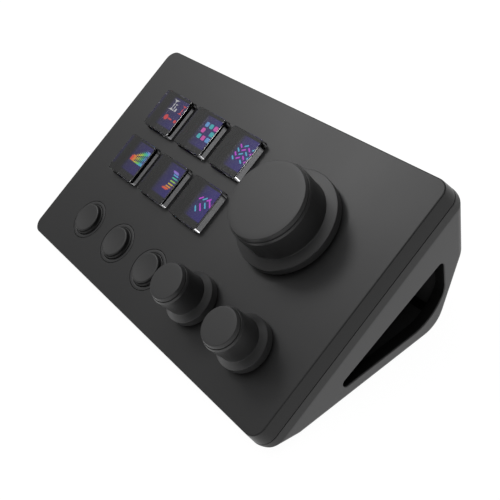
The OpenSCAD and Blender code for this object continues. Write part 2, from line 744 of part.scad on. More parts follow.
// Socket for the cable, on its own small board behind the rear wall
usb_board_y = rear_y - wall - usb_post_l - usb_board_size.y;
module usb_ring(w, h, low, high) {
    translate([0, high, usb_z]) rotate([90, 0, 0]) linear_extrude(high - low)
        stadium(w, h);
}
module usb_hole() usb_ring(usb_w + 3 * snug, usb_h + 3 * snug, usb_board_y, far);
module usb_posts() for (x = [-1, 1])
    translate([x * usb_post_x, rear_y, usb_z]) rotate([90, 0, 0]) cylinder(r = usb_post_r, h = wall + usb_post_l);
module usb_board() color("#1c4a36") in_stand()
    translate([0, usb_board_y, usb_z]) translate([-usb_board_size.x / 2, 0, -usb_board_size.z / 2])
        cube(usb_board_size);
module usb_socket() color("#a8a8a4") in_stand() {
    shell_y = usb_board_y + usb_board_size.y;
    difference() {
        usb_ring(usb_w, usb_h, shell_y, rear_y - usb_recess);
        usb_ring(usb_w - 2 * usb_shell_t, usb_h - 2 * usb_shell_t, shell_y + usb_shell_t, far);
    }
    translate([-usb_tongue.x / 2, shell_y, usb_z - usb_tongue.y / 2])
        cube([usb_tongue.x, rear_y - usb_recess - 0.5 - shell_y, usb_tongue.y]);
}

top_cover();
base_housing();
inner_tray();
main_board();
usb_board();
usb_socket();
key_frame();
displays();
key_domes();
button_rings();
button_switches();
push_domes();
tray_screws();
base_screws();
foot(0);  // foot_front_left
foot(1);  // foot_front_right
foot(2);  // foot_rear_left
foot(3);  // foot_rear_right
for (k = [0:KEYS - 1]) {
    key_cap(k);
    key_collar(k);
}
for (b = [0:BUTTONS - 1]) {
    button_cap(b);
    button_plunger(b);
}
for (s = [0:2]) {
    knob(s);
    knob_cap(s);
    shaft(s);
    rotor(s);
    encoder(s);
}
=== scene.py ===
import json
import math

import bmesh
import bpy
import numpy as np
from mathutils import Matrix, Vector


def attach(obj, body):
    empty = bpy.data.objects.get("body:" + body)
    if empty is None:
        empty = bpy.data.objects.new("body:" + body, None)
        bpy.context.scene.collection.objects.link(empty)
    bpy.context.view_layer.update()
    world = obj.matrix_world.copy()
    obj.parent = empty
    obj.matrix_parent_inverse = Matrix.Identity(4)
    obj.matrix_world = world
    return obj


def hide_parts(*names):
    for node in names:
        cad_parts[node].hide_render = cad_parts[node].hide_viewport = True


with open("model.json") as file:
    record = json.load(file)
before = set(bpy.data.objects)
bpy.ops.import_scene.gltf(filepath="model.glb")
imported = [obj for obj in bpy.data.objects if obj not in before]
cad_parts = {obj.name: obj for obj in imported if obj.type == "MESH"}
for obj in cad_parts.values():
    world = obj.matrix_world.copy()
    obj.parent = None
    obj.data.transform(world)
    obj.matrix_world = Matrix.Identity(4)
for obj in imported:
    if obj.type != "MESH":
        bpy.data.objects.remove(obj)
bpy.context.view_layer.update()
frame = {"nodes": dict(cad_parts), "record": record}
print("frame loaded", len(frame["nodes"]), "nodes")

# All shapes are built in millimetres and scaled to metres at the end.
# Face coordinates: x right, y up the slope, z out of the face. Stand coordinates: z up from the underside.
deck = {
    "tilt": math.radians(27.0),
    "width": 132.0, "depth": 81.8, "corner": 4.0,
    "standY": -1.76953, "centreHeight": 26.76821, "footProud": 0.5,
    "seam": -4.8, "flareSide": 0.95, "flareEnd": 0.70, "plate": 2.0,
}
# Places on the face: shares of its width and depth, and distances in millimetres.
layout = {
    "keys": (-0.1712, 0.1174),
    "keyPitch": (19.4, 19.75),
    "buttonRow": -0.3148,
    "buttonShift": 0.6,
    "largeKnob": (0.239, 0.1247),
    "smallKnobs": (0.2515, -0.2885),
    "smallKnobGap": 0.1909,
    "wellHalf": (14.9 + 2.2) / 2 + 2.0,
    "caseScrewSide": 58.0,
    "caseScrewRear": 28.9,
    "caseScrewFront": -19.9,
    "screwBesideKeys": 4.85,
    "screwBesideButton": 13.15,
    "baseScrew": (50.0, -35.5),
}


def onFace(across, along):
    return across * deck["width"], along * deck["depth"]


keyMiddle = onFace(*layout["keys"])
pitchX, pitchY = layout["keyPitch"]
keyPlaces = [(keyMiddle[0] + column * pitchX, keyMiddle[1] + row * pitchY)
             for row in (0.5, -0.5) for column in (-1, 0, 1)]
buttonMiddle = keyMiddle[0] - layout["buttonShift"], layout["buttonRow"] * deck["depth"]
buttonPlaces = [(buttonMiddle[0] + column * pitchX, buttonMiddle[1]) for column in (-1, 0, 1)]
smallX, smallY = layout["smallKnobs"]
knobPlaces = {
    "large": onFace(*layout["largeKnob"]),
    "left": onFace(smallX - layout["smallKnobGap"] / 2, smallY),
    "right": onFace(smallX + layout["smallKnobGap"] / 2, smallY),
}
screwRear, screwFront = layout["caseScrewRear"], layout["caseScrewFront"]
caseScrews = [(side * layout["caseScrewSide"], y) for side in (-1, 1) for y in (screwRear, screwFront)]
caseScrews += [(keyPlaces[1][0] + pitchX + layout["wellHalf"] + layout["screwBesideKeys"], screwRear),
               (buttonPlaces[2][0] + layout["screwBesideButton"], screwFront)]
baseScrews = [(side * layout["baseScrew"][0], layout["baseScrew"][1]) for side in (-1, 1)]


# Face coordinates to the world, both in millimetres.
def faceToWorld(points):
    c, s = math.cos(deck["tilt"]), math.sin(deck["tilt"])
    x, y, z = np.moveaxis(np.asarray(points, float), -1, 0)
    return np.stack([x, deck["standY"] + y * c - z * s, deck["centreHeight"] + y * s + z * c], -1)


def worldToFace(points):
    c, s = math.cos(deck["tilt"]), math.sin(deck["tilt"])
    x, y, z = np.moveaxis(np.asarray(points, float), -1, 0)
    y, z = y - deck["standY"], z - deck["centreHeight"]
    return np.stack([x, y * c + z * s, z * c - y * s], -1)


def standToWorld(points):
    return np.asarray(points, float) + (0.0, deck["standY"], deck["footProud"])


# Outlines

# A polygon or open line with each corner turned into an arc of its own radius.
def rounded(points, radii, steps=8, closed=True):
    points = np.asarray(points, float)
    count = len(points)
    out = []
    for i in range(count):
        radius = radii[i] if np.ndim(radii) else radii
        if radius <= 0 or (not closed and i in (0, count - 1)):
            out.append(points[i:i + 1])
            continue
        a = points[i - 1] - points[i]
        b = points[(i + 1) % count] - points[i]
        a, b = a / np.linalg.norm(a), b / np.linalg.norm(b)
        half = math.acos(float(np.clip(a @ b, -1, 1))) / 2
        centre = points[i] + (a + b) / np.linalg.norm(a + b) * radius / math.sin(half)
        start = points[i] + a * radius / math.tan(half) - centre
        stop = points[i] + b * radius / math.tan(half) - centre
        first = math.atan2(start[1], start[0])
        sweep = (math.atan2(stop[1], stop[0]) - first + math.pi) % (2 * math.pi) - math.pi
        angle = first + sweep * np.linspace(0, 1, steps + 1)
        out.append(centre + radius * np.stack([np.cos(angle), np.sin(angle)], -1))
    return np.concatenate(out)


# An anticlockwise polygon with each side moved in by its own distance.
def movedIn(points, distances):
    points = np.asarray(points, float)
    d = np.broadcast_to(np.asarray(distances, float), len(points))
    side = np.roll(points, -1, axis=0) - points
    inward = np.stack([-side[:, 1], side[:, 0]], -1) / np.linalg.norm(side, axis=1)[:, None]
    before, dBefore = np.roll(inward, 1, axis=0), np.roll(d, 1)
    det = before[:, 0] * inward[:, 1] - before[:, 1] * inward[:, 0]
    shift = np.stack([dBefore * inward[:, 1] - d * before[:, 1],
                      d * before[:, 0] - dBefore * inward[:, 0]], -1)
    return points + shift / det[:, None]


# Anticlockwise outline of a plate with round corners, steps segments in each corner.
def plateOutline(width, depth, radius, height, steps=10):
    quarter = np.repeat(np.arange(4), steps + 1)
    angle = (quarter + np.tile(np.linspace(0, 1, steps + 1), 4)) * math.pi / 2
    sx = np.where((quarter == 0) | (quarter == 3), 1.0, -1.0)
    sy = np.where(quarter < 2, 1.0, -1.0)
    x = sx * (width / 2 - radius) + radius * np.cos(angle)
    y = sy * (depth / 2 - radius) + radius * np.sin(angle)
    return np.stack([x, y, np.full_like(x, height)], -1)


# Points of a circle round a place, at one height.
def circle(radius, place, height, steps):
    angle = np.linspace(0, 2 * math.pi, steps, endpoint=False)
    x, y = place[0] + radius * np.cos(angle), place[1] + radius * np.sin(angle)
    return np.stack([x, y, np.full(steps, height)], -1)


# How far a quarter round of this radius has fallen at a distance inside its edge.
def dip(radius, inside):
    inside = np.clip(inside, 0.0, radius)
    return radius - np.sqrt(np.maximum(radius ** 2 - (radius - inside) ** 2, 0.0))


# Solids: (vertices, faces)

# Quads between rings of equal length, with the first and last ring closed by one face.
def skin(rings, ends=(True, True), loop=False):
    rings = np.asarray(rings, float)
    count, length = rings.shape[:2]
    index = np.arange(count * length).reshape(count, length)
    low, high = (index, np.roll(index, -1, axis=0)) if loop else (index[:-1], index[1:])
    lowNext, highNext = np.roll(low, -1, axis=1), np.roll(high, -1, axis=1)
    faces = np.stack([low, lowNext, highNext, high], -1).reshape(-1, 4).tolist()
    if not loop and ends[0]:
        faces.append(index[0, ::-1].tolist())
    if not loop and ends[1]:
        faces.append(index[-1].tolist())
    return rings.reshape(-1, 3), faces


# Radius and height carried round a vertical axis.
def lathe(profile, place=(0.0, 0.0), steps=96, loop=False):
    profile = np.asarray(profile, float)
    angle = np.linspace(0, 2 * math.pi, steps, endpoint=False)
    rings = np.empty((len(profile), steps, 3))
    rings[..., 0] = place[0] + profile[:, :1] * np.cos(angle)
    rings[..., 1] = place[1] + profile[:, :1] * np.sin(angle)
    rings[..., 2] = profile[:, 1:]
    return skin(rings, loop=loop)


def peg(radius, low, high, place=(0.0, 0.0), steps=48):
    return lathe([(radius, low), (radius, high)], place, steps)


def tube(inner, outer, low, high, place, steps=40):
    return lathe([(inner, low), (outer, low), (outer, high), (inner, high)], place, steps, loop=True)


# A flat outline between two heights.
def slab(outline, low, high):
    flat = np.asarray(outline, float)[:, :2]
    return skin([np.column_stack([flat, np.full(len(flat), z)]) for z in (low, high)])


def brick(low, high):
    (x0, y0, z0), (x1, y1, z1) = low, high
    return slab([(x0, y0), (x1, y0), (x1, y1), (x0, y1)], z0, z1)


# An outline in (y, z) carried along x.
def sideways(outline, halfWidth):
    outline = np.asarray(outline, float)
    return skin([np.column_stack([np.full(len(outline), x), outline]) for x in (-halfWidth, halfWidth)])


def together(*solids):
    vertices, faces, start = [], [], 0
    for points, polygons in solids:
        vertices.append(points)
        faces.extend([[start + i for i in polygon] for polygon in polygons])
        start += len(points)
    return np.concatenate(vertices), faces


def placed(solid, move):
    return move(solid[0]), solid[1]


# Objects

def addObject(name, data):
    thing = bpy.data.objects.new(name, data)
    bpy.context.scene.collection.objects.link(thing)
    return thing


def newObject(name, solid):
    mesh = bpy.data.meshes.new(name)
    mesh.from_pydata(solid[0].tolist(), [], solid[1])
    mesh.validate()
    tidyMesh(mesh)
    return addObject(name, mesh)


def faceObject(name, *solids):
    return newObject(name, placed(together(*solids), faceToWorld))


def tidyMesh(mesh, merge=1e-4):
    work = bmesh.new()
    work.from_mesh(mesh)
    bmesh.ops.remove_doubles(work, verts=work.verts, dist=merge)
    bmesh.ops.recalc_face_normals(work, faces=work.faces)
    work.to_mesh(mesh)
    work.free()


# Cuts, joins or intersects an object with a tool, which is used up.
def combine(thing, tool, operation="DIFFERENCE"):
    if not isinstance(tool, bpy.types.Object):
        tool = newObject("tool", tool)
    change = thing.modifiers.new("change", "BOOLEAN")
    change.operation, change.solver, change.object = operation, "EXACT", tool
    graph = bpy.context.evaluated_depsgraph_get()
    mesh = bpy.data.meshes.new_from_object(thing.evaluated_get(graph))
    old = thing.data
    thing.modifiers.clear()
    thing.data = mesh
    bpy.data.meshes.remove(old)
    bpy.data.objects.remove(tool)


# One row of three numbers for each vertex or face.
def readRows(items, key):
    flat = np.empty(len(items) * 3)
    items.foreach_get(key, flat)
    return flat.reshape(-1, 3)


# Carries every vertex of an object by a function of whole arrays.
def moveMesh(thing, move):
    moved = move(readRows(thing.data.vertices, "co"))
    thing.data.vertices.foreach_set("co", moved.ravel())
    thing.data.update()


# Scales a piece to metres, smooths it, paints it and ties it to its body.
def finishPiece(thing, body, slotName, nodes=(), angle=32.0, colour=None):
    mesh = thing.data
    mesh.name = thing.name
    tidyMesh(mesh)
    mesh.transform(Matrix.Scale(0.001, 4))
    mesh.polygons.foreach_set("use_smooth", np.ones(len(mesh.polygons), bool))
    mesh.set_sharp_from_angle(angle=math.radians(angle))
    weight = thing.modifiers.new("weight", "WEIGHTED_NORMAL")
    weight.keep_sharp, weight.weight = True, 80
    mesh.materials.clear()
    mesh.materials.append(paint[colour or slotName])
    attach(thing, body)
    if nodes:
        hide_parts(*nodes)


# Shader maths

# A socket that can be added, multiplied and so on with numbers and other sockets.
class Wire:
    def __init__(self, tree, socket):
        self.tree, self.socket = tree, socket

    def math(self, operation, *others, swap=False):
        node = self.tree.nodes.new("ShaderNodeMath")
        node.operation = operation
        values = [self, *others]
        if swap:
            values.reverse()
        for slot, value in zip(node.inputs, values):
            feed(self.tree, slot, value)
        return Wire(self.tree, node.outputs[0])


for sign, operation in (("add", "ADD"), ("sub", "SUBTRACT"), ("mul", "MULTIPLY"), ("truediv", "DIVIDE")):
    setattr(Wire, f"__{sign}__", lambda a, b, kind=operation: a.math(kind, b))
    setattr(Wire, f"__r{sign}__", lambda a, b, kind=operation: a.math(kind, b, swap=True))


def feed(tree, slot, value):
    if isinstance(value, Wire):
        tree.links.new(value.socket, slot)
    elif isinstance(value, (tuple, list)) and len(value) == 3 and len(slot.default_value) == 4:
        slot.default_value = (*value, 1.0)
    else:
        slot.default_value = value


# A node tree with one method for each common step.
class Graph:
    def __init__(self, tree):
        self.tree = tree

    def node(self, kind, settings=None, output=0, **sockets):
        made = self.tree.nodes.new(kind)
        for key, value in (settings or {}).items():
            setattr(made, key, value)
        for key, value in sockets.items():
            feed(self.tree, made.inputs[key.replace("_", " ")], value)
        return Wire(self.tree, made.outputs[output])

    # Object coordinates in millimetres.
    def place(self, scale=1000.0):
        at = self.node("ShaderNodeTexCoord", output="Object")
        return self.vector("SCALE", at, scale=scale)

    def vector(self, operation, a, b=None, scale=None):
        made = self.tree.nodes.new("ShaderNodeVectorMath")
        made.operation = operation
        feed(self.tree, made.inputs[0], a)
        if b is not None:
            feed(self.tree, made.inputs[1], b)
        if scale is not None:
            feed(self.tree, made.inputs["Scale"], scale)
        return Wire(self.tree, made.outputs["Value" if operation == "DOT_PRODUCT" else 0])

    # Colour a where share is 0, colour b where it is 1.
    def blend(self, share, a, b):
        made = self.tree.nodes.new("ShaderNodeMix")
        made.data_type = "RGBA"
        feed(self.tree, made.inputs[0], share)
        feed(self.tree, made.inputs[6], a)
        feed(self.tree, made.inputs[7], b)
        return Wire(self.tree, made.outputs[2])

    def split(self, at):
        parts = self.tree.nodes.new("ShaderNodeSeparateXYZ")
        feed(self.tree, parts.inputs[0], at)
        return [Wire(self.tree, part) for part in parts.outputs]

    # A value that the mesh itself carries.
    def attribute(self, name, output):
        return self.node("ShaderNodeAttribute", {"attribute_name": name}, output)

    def noise(self, at, scale, detail=2.0, rough=0.5):
        return self.node("ShaderNodeTexNoise", Vector=at, Scale=scale, Detail=detail, Roughness=rough)

    # Smooth step of a value from low to high.
    def ramp(self, value, low, high, start=0.0, stop=1.0):
        return self.node("ShaderNodeMapRange", {"interpolation_type": "SMOOTHSTEP"}, Value=value,
                         From_Min=low, From_Max=high, To_Min=start, To_Max=stop)

    def bump(self, height, strength, distance):
        return self.node("ShaderNodeBump", Height=height, Strength=strength, Distance=distance)


# A material's node tree with a Principled shader at its end.
class Paint(Graph):
    def __init__(self, name):
        self.material = bpy.data.materials.new(name)
        self.material.use_nodes = True
        super().__init__(self.material.node_tree)
        self.shader = next(n for n in self.tree.nodes if n.type == "BSDF_PRINCIPLED")

    def set(self, **sockets):
        for key, value in sockets.items():
            feed(self.tree, self.shader.inputs[key.replace("_", " ")], value)
        return self.material


# Moulded plastic: colour and roughness drift slowly, with a fine grain in the bump.
# Each band is (start, full, share): between these two heights over the face, the colour goes to
# that share of itself. This is painted shade where the share is below one and painted light where it is
# above one.
# Where the mesh has its shade attribute, the colour falls with it: painted shade.
def grainedPlastic(name, colour, rough, grain=0.5, specular=0.5, patch=0.06, paintedShadeAndLightBands=(), usePaintedShade=False):
    p = Paint(name)
    at = p.place()
    slow = p.noise(at, 0.035, 3.0)
    fine = p.noise(at, 3.2, 2.0, 0.6)
    speck = p.noise(at, 9.0, 1.0)
    share = 0.5 + (slow - 0.5) * 1.2 + (speck - 0.5) * 0.35
    darker = tuple(c * (1 - patch) for c in colour)
    lighter = tuple(c * (1 + patch) for c in colour)
    tone = p.blend(share, darker, lighter)
    normal = tuple(faceToWorld((0.0, 0.0, 1.0)) - faceToWorld((0.0, 0.0, 0.0)))
    offset = float(faceToWorld((0.0, 0.0, 0.0)) @ np.array(normal))
    # Painted shade and painted light, in bands by height over the face.
    for start, full, portion in paintedShadeAndLightBands:
        height = p.vector("DOT_PRODUCT", at, normal) - offset
        tone = p.blend(p.ramp(height, start, full), tone, tuple(c * portion for c in colour))
    # Painted shade on the faces that carry the shade attribute.
    if usePaintedShade:
        tone = p.blend(p.attribute("paintedShade", "Fac"), tone, tuple(c * 0.06 for c in colour))
    return p.set(
        Base_Color=tone,
        Roughness=rough + (slow - 0.5) * 0.08 + (fine - 0.5) * 0.06,
        Normal=p.bump(fine + speck * 0.5, grain, 0.00002),  # a fiftieth of a millimetre deep
        Specular_IOR_Level=specular,
    )


# Polished or satin plastic with faint smears.
def glossPlastic(name, colour, rough, specular=0.5):
    p = Paint(name)
    at = p.place()
    smear = p.noise(at, 0.12, 4.0, 0.6)
    fine = p.noise(at, 5.0, 2.0)
    lighter = tuple(c * 1.12 for c in colour)
    return p.set(
        Base_Color=p.blend(smear, colour, lighter),
        Roughness=rough + (smear - 0.5) * 0.1,
        Normal=p.bump(fine, 0.15, 0.00001),
        Specular_IOR_Level=specular,
    )


# Plated or turned metal: roughness and colour follow fine streaks.
def metal(name, colour, rough, stretch=(1.0, 1.0, 1.0), scale=2.0):
    p = Paint(name)
    at = p.vector("MULTIPLY", p.place(), stretch)
    streak = p.noise(at, scale, 4.0, 0.65)
    darker = tuple(c * 0.8 for c in colour)
    return p.set(
        Base_Color=p.blend(streak, darker, colour),
        Metallic=1.0,
        Roughness=rough + (streak - 0.5) * 0.18,
        Normal=p.bump(streak, 0.12, 0.00001),
    )


def rubber(name, colour):
    p = Paint(name)
    at = p.place()
    dots = p.node("ShaderNodeTexVoronoi", {"feature": "F1"}, output="Distance", Vector=at, Scale=1.4)
    dust = p.noise(at, 0.4, 4.0)
    return p.set(
        Base_Color=p.blend(p.ramp(dust, 0.55, 0.8), colour, tuple(c * 2.2 for c in colour)),
        Roughness=0.82 + (dust - 0.5) * 0.12,
        Normal=p.bump(dots, 0.35, 0.00008),
    )


# Solder mask with traces on a grid, small pads and bare copper at the edges of the holes.
def circuitBoard(name):
    p = Paint(name)
    at = p.place()
    x, y = p.split(at)[:2]
    cell = p.node("ShaderNodeTexVoronoi", {"feature": "F1", "distance": "CHEBYCHEV"}, output="Distance",
                  Vector=at, Scale=0.35)
    pad = p.ramp(cell, 0.16, 0.13)
    warp = p.noise(at, 0.08, 1.0) * 6.0
    lines = ((x + warp).math("PINGPONG", 0.6) / 0.6).math("GREATER_THAN", 0.72)
    rows = ((y + warp).math("PINGPONG", 0.8) / 0.8).math("GREATER_THAN", 0.8)
    trace = lines.math("MAXIMUM", rows) * p.ramp(p.noise(at, 0.06, 2.0), 0.42, 0.5)
    mask = p.blend(trace, (0.008, 0.055, 0.03), (0.02, 0.11, 0.06))
    return p.set(
        Base_Color=p.blend(pad, mask, (0.55, 0.5, 0.4)),
        Metallic=pad,
        Roughness=0.36 + p.noise(at, 1.0, 2.0) * 0.12,
        Normal=p.bump(trace + pad, 0.3, 0.00003),
    )


# Smoked clear plastic, polished, with faint finger smears on it.
def keyGlass():
    p = Paint("keyGlass")
    at = p.place()
    smear = p.ramp(p.noise(at, 0.25, 4.0, 0.65), 0.45, 0.8)
    p.shader.inputs["Transmission Weight"].default_value = 1.0
    p.shader.inputs["IOR"].default_value = 1.49
    tint = p.blend(smear, (0.18, 0.18, 0.184), (0.165, 0.165, 0.17))
    return p.set(Base_Color=tint, Roughness=0.004 + smear * 0.008)


# Lit film: a violet glow, the display's own light, that rises from its left side, with its own level on
# each key. The glow's left end and its level, set for each key column, are painted light: they stand in
# for how the display's light seen through each clear block changes from column to column.
# The film's attribute holds its distance from the glow's left end, its place up the key, and the level.
lit = {
    "rise": (0.0, 2.6),
    "slope": (0.5, 8.5),
    "low": (-4.9, -4.4),
    "high": (6.75, 6.6),
    "glow": (0.062, 0.025, 0.57),
}


def screenGlass():
    p = Paint("screenGlass")
    x, y, level = p.split(p.attribute("panel", "Vector"))
    across = p.ramp(x, *lit["rise"], 0.0, 0.55) + p.ramp(x, *lit["slope"], 0.0, 0.45)
    along = p.ramp(y, *lit["low"]) * p.ramp(y, *lit["high"])
    # The level and left end come per key column: painted light for how the display's light, seen through
    # each block, changes from column to column.
    share = across * along * level
    cloud = p.noise(p.place(), 0.12, 2.0)
    glow = p.blend(cloud, lit["glow"], tuple(c * 1.2 for c in lit["glow"]))
    p.shader.inputs["Emission Strength"].default_value = 1.0
    return p.set(
        Base_Color=p.blend(share, (0.004, 0.004, 0.005), (0.01, 0.008, 0.02)),
        Roughness=0.22 + cloud * 0.1,
        Emission_Color=p.blend(share, (0.0, 0.0, 0.0), glow),
    )


# Lit motif: its colour comes from the mesh's own attribute.
def motifInk():
    p = Paint("motifInk")
    ink = p.attribute("ink", "Color")
    flicker = p.noise(p.place(), 2.0, 1.0)
    p.shader.inputs["Emission Strength"].default_value = 3.3
    return p.set(
        Base_Color=p.blend(0.9, ink, (0.0, 0.0, 0.0)),
        Roughness=0.3 + flicker * 0.1,
        Emission_Color=p.blend(0.1 * flicker, ink, (0.0, 0.0, 0.0)),
    )


paint = {
    # Cover: its flank below the face is darkened to 0.4 of its colour. This is painted shade for the band
    # that faces away from the light.
    "cover": grainedPlastic("coverPlastic", (0.029, 0.029, 0.0295), 0.37, specular=0.3,
                            paintedShadeAndLightBands=[(-0.15, -0.4, 0.4)]),
    # Housing: the rim from the seam to about 2.4 mm below it is darkened to 0.3 of its colour. This is
    # painted shade for the rim that leans in and gets less light. The faces inside the side windows also
    # get painted shade from their attribute.
    "housing": grainedPlastic("housingPlastic", (0.050, 0.050, 0.051), 0.44,
                              paintedShadeAndLightBands=[(deck["seam"] - 3.0, deck["seam"] - 2.4, 0.3)], usePaintedShade=True),
    "tray": grainedPlastic("trayPlastic", (0.006, 0.006, 0.0062), 0.55, specular=0.25),
    "board": circuitBoard("solderMask"),
    "socket_metal": metal("socketMetal", (0.60, 0.60, 0.59), 0.26, (1.0, 6.0, 1.0)),
    "frame": grainedPlastic("framePlastic", (0.010, 0.010, 0.011), 0.5),
    "screen": screenGlass(),
    "module": glossPlastic("displayModule", (0.006, 0.006, 0.007), 0.2),
    "dome_metal": metal("domeMetal", (0.72, 0.71, 0.68), 0.22),
    "button_ring": glossPlastic("ringPlastic", (0.032, 0.032, 0.033), 0.36, specular=0.35),
    "switch": grainedPlastic("switchPlastic", (0.012, 0.012, 0.013), 0.46),
    "screw_metal": metal("screwMetal", (0.42, 0.42, 0.41), 0.3),
    "foot_rubber": rubber("footRubber", (0.016, 0.016, 0.016)),
    "encoder_metal": metal("encoderMetal", (0.58, 0.58, 0.56), 0.38, (1.0, 1.0, 3.0)),
    "key_cap": keyGlass(),
    "collar": grainedPlastic("collarPlastic", (0.008, 0.008, 0.009), 0.48),
    # Button: its flank and flange below 1.1 mm are darkened to 0.3 of the colour. This is painted shade
    # where the flank sits in shadow.
    "button": grainedPlastic("buttonPlastic", (0.037, 0.037, 0.0375), 0.38, specular=0.35,
                             paintedShadeAndLightBands=[(1.35, 1.1, 0.3)]),
    # Knob: the cone is lightened by 1.4 and the skirt rim by 1.8. This is painted light under the grip's
    # overhang.
    "knob": grainedPlastic("knobPlastic", (0.026, 0.026, 0.0265), 0.38,
                           paintedShadeAndLightBands=[(4.6, 4.0, 1.4), (3.4, 3.1, 1.8)]),
    "knob_cap": grainedPlastic("knobCapPlastic", (0.043, 0.043, 0.0435), 0.40, specular=0.3),
    "shaft_metal": metal("shaftMetal", (0.66, 0.66, 0.64), 0.24, (1.0, 1.0, 8.0)),
    "rotor": grainedPlastic("rotorPlastic", (0.50, 0.47, 0.38), 0.5),
    "motif": motifInk(),
}
slots = {entry["node"]: entry["material_slot"] for entry in frame["record"]["subparts"]}
for name, thing in frame["nodes"].items():
    thing.data.materials.clear()
    thing.data.materials.append(paint[slots[name]])
print("materials made")

# Top cover
cover = {
    "edgeRound": 0.35, "seamRound": 0.18, "flankTop": 0.3,
    "bayHalfWidth": 65.2, "bayHalfDepth": 39.75, "bayRound": 2.0,
    "clearance": 0.2, "tongue": 1.3,
    "keyOpening": (15.3, 15.1, 1.2), "ringOpening": 7.10, "bushingOpening": 3.90,
    "holeRound": 0.12,
    "pilot": 1.05, "boss": 3.0, "bossLow": -11.4, "bossTop": -1.95,
    "shortBoss": 2.8, "shortBossLow": -5.5,
    "ribX": (63.7, 65.0), "ribY": (-33.9, 35.9), "ribZ": (-6.2, -4.75),
}


# The flank widens evenly down to the seam; its upper and lower edges are quarter rounds.
def coverRings():
    top, low, seam = cover["edgeRound"], cover["seamRound"], deck["seam"]
    turn = np.linspace(0, math.pi / 2, 9)
    heights = np.concatenate([seam + low * (1 - np.cos(turn)), -top * (1 - np.sin(turn))])
    share = (-heights - cover["flankTop"]) / (-seam - cover["flankTop"])
    fall = dip(top, -heights) * (heights > -top) + dip(low, heights - seam) * (heights < seam + low)
    rings = []
    for z, f, d in zip(heights, share, fall):
        dx, dy = deck["flareSide"] * f - d, deck["flareEnd"] * f - d
        corner = deck["corner"] + min(dx, dy)
        rings.append(plateOutline(deck["width"] + 2 * dx, deck["depth"] + 2 * dy, corner, z, 16))
    return rings


# A cutter whose section grows in a quarter round just below the surface at z = 0.
def flared(outlineAt, low, high, radius, steps=5):
    turn = np.linspace(0, math.pi / 2, steps + 1)
    heights = [low, *(-radius + radius * np.sin(turn)), high]
    growth = [0.0, *(radius * (1 - np.cos(turn))), radius]
    return skin([outlineAt(g, z) for g, z in zip(growth, heights)])


# Outlines of the round and square openings, at a growth and a height.
def ringOutline(radius, place, steps=72):
    return lambda g, z: circle(radius + g, place, z, steps)


def keyOutline(place):
    w, d, r = cover["keyOpening"]
    return lambda g, z: plateOutline(w + 2 * g, d + 2 * g, r + g, z, 8) + (place[0], place[1], 0.0)


coverShell = newObject("coverShell", skin(coverRings()))
inside = cover["clearance"] + cover["tongue"]
past = 1.0  # how far a cutter stands out past what it cuts
bayWidth, bayDepth = 2 * (cover["bayHalfWidth"] - inside), 2 * (cover["bayHalfDepth"] - inside)
combine(coverShell, skin([plateOutline(bayWidth, bayDepth, cover["bayRound"], z)
                          for z in (deck["seam"] - past, -deck["plate"])]))
openings = [(keyOutline(p), 1.0) for p in keyPlaces]
openings += [(ringOutline(cover["ringOpening"], p), 0.6) for p in buttonPlaces]
openings += [(ringOutline(cover["bushingOpening"], p), 1.0) for p in knobPlaces.values()]
for outlineAt, softness in openings:
    combine(coverShell, flared(outlineAt, -deck["plate"] - past, past, cover["holeRound"] * softness))
bosses = [tube(cover["pilot"], cover["boss"], cover["bossLow"], cover["bossTop"], p) for p in caseScrews]
bosses += [tube(cover["pilot"], cover["shortBoss"], cover["shortBossLow"], cover["bossTop"], p)
           for p in baseScrews]
(ribIn, ribOut), (ribFront, ribRear), (ribLow, ribTop) = cover["ribX"], cover["ribY"], cover["ribZ"]
bosses += [brick((x0, ribFront, ribLow), (x1, ribRear, ribTop))
           for x0, x1 in ((-ribOut, -ribIn), (ribIn, ribOut))]
extra = newObject("bosses", together(*bosses))
with bpy.context.temp_override(active_object=coverShell, selected_editable_objects=[coverShell, extra]):
    bpy.ops.object.join()
moveMesh(coverShell, faceToWorld)
finishPiece(coverShell, "body", "cover", ["top_cover"])
print("cover made", len(coverShell.data.polygons))

# Base housing: its front line starts well in front of the part, and the rim cuts it off
housing = {
    "halfWidth": 67.5, "frontY": -89.85, "toeInset": 12.5,
    "toeRise": math.radians(13.0),
    "heelRun": 11.7, "kneeHeight": 23.0, "kneeRound": 4.0, "heelRound": 9.0,
    "edgeRound": 1.7, "rearRound": 3.2, "rearStep": 0.6,
    "wall": 2.4, "sideWall": 3.5, "bayWall": 2.3,
    "bayHalfDepth": 39.75, "bayRound": 2.2,
    "rimSlope": 0.55 / 2.6, "rimBlend": 0.16, "rimReach": (6.0, 0.8),
    "trayDepth": 12.8, "trayStep": 0.7,
    "windowSill": 4.4, "windowTop": 23.4, "windowKnee": 12.1,
    "windowRear": 8.7, "windowHeel": 6.3,
    "windowTilt": math.radians(23.0),
    "windowRounds": (1.45, 13.9, 6.0, 1.45), "windowEdge": 0.35,
    "groove": (0.13, 0.40, 0.18), "screwPost": (3.6, -5.6), "screwBore": (2.4, -7.0, 1.25),
}
foot = {
    "x": 50.0, "fromToe": 7.0, "fromHeel": 11.0,
    "size": (16.0, 7.0), "recess": (16.4, 7.4), "depth": 1.0,
}
socket = {
    "height": 35.177, "mouth": (9.6, 3.8), "flare": 0.25,
    "inner": 34.0, "pegX": 7.0, "peg": (1.4, 3.8),
}
rearY = (deck["depth"] / 2 + deck["flareEnd"]) * math.cos(deck["tilt"])
rearY += housing["rearStep"] - deck["seam"] * math.sin(deck["tilt"])
toeY = housing["toeInset"] - deck["depth"] / 2 * math.cos(deck["tilt"])
heelY = rearY - housing["heelRun"]
far = 200.0
standLine = np.array([
    (housing["frontY"], (toeY - housing["frontY"]) * math.tan(housing["toeRise"])),
    (toeY, 0.0),
    (heelY, 0.0),
    (rearY, housing["kneeHeight"]),
    (rearY, far),
    (housing["frontY"], far),
])
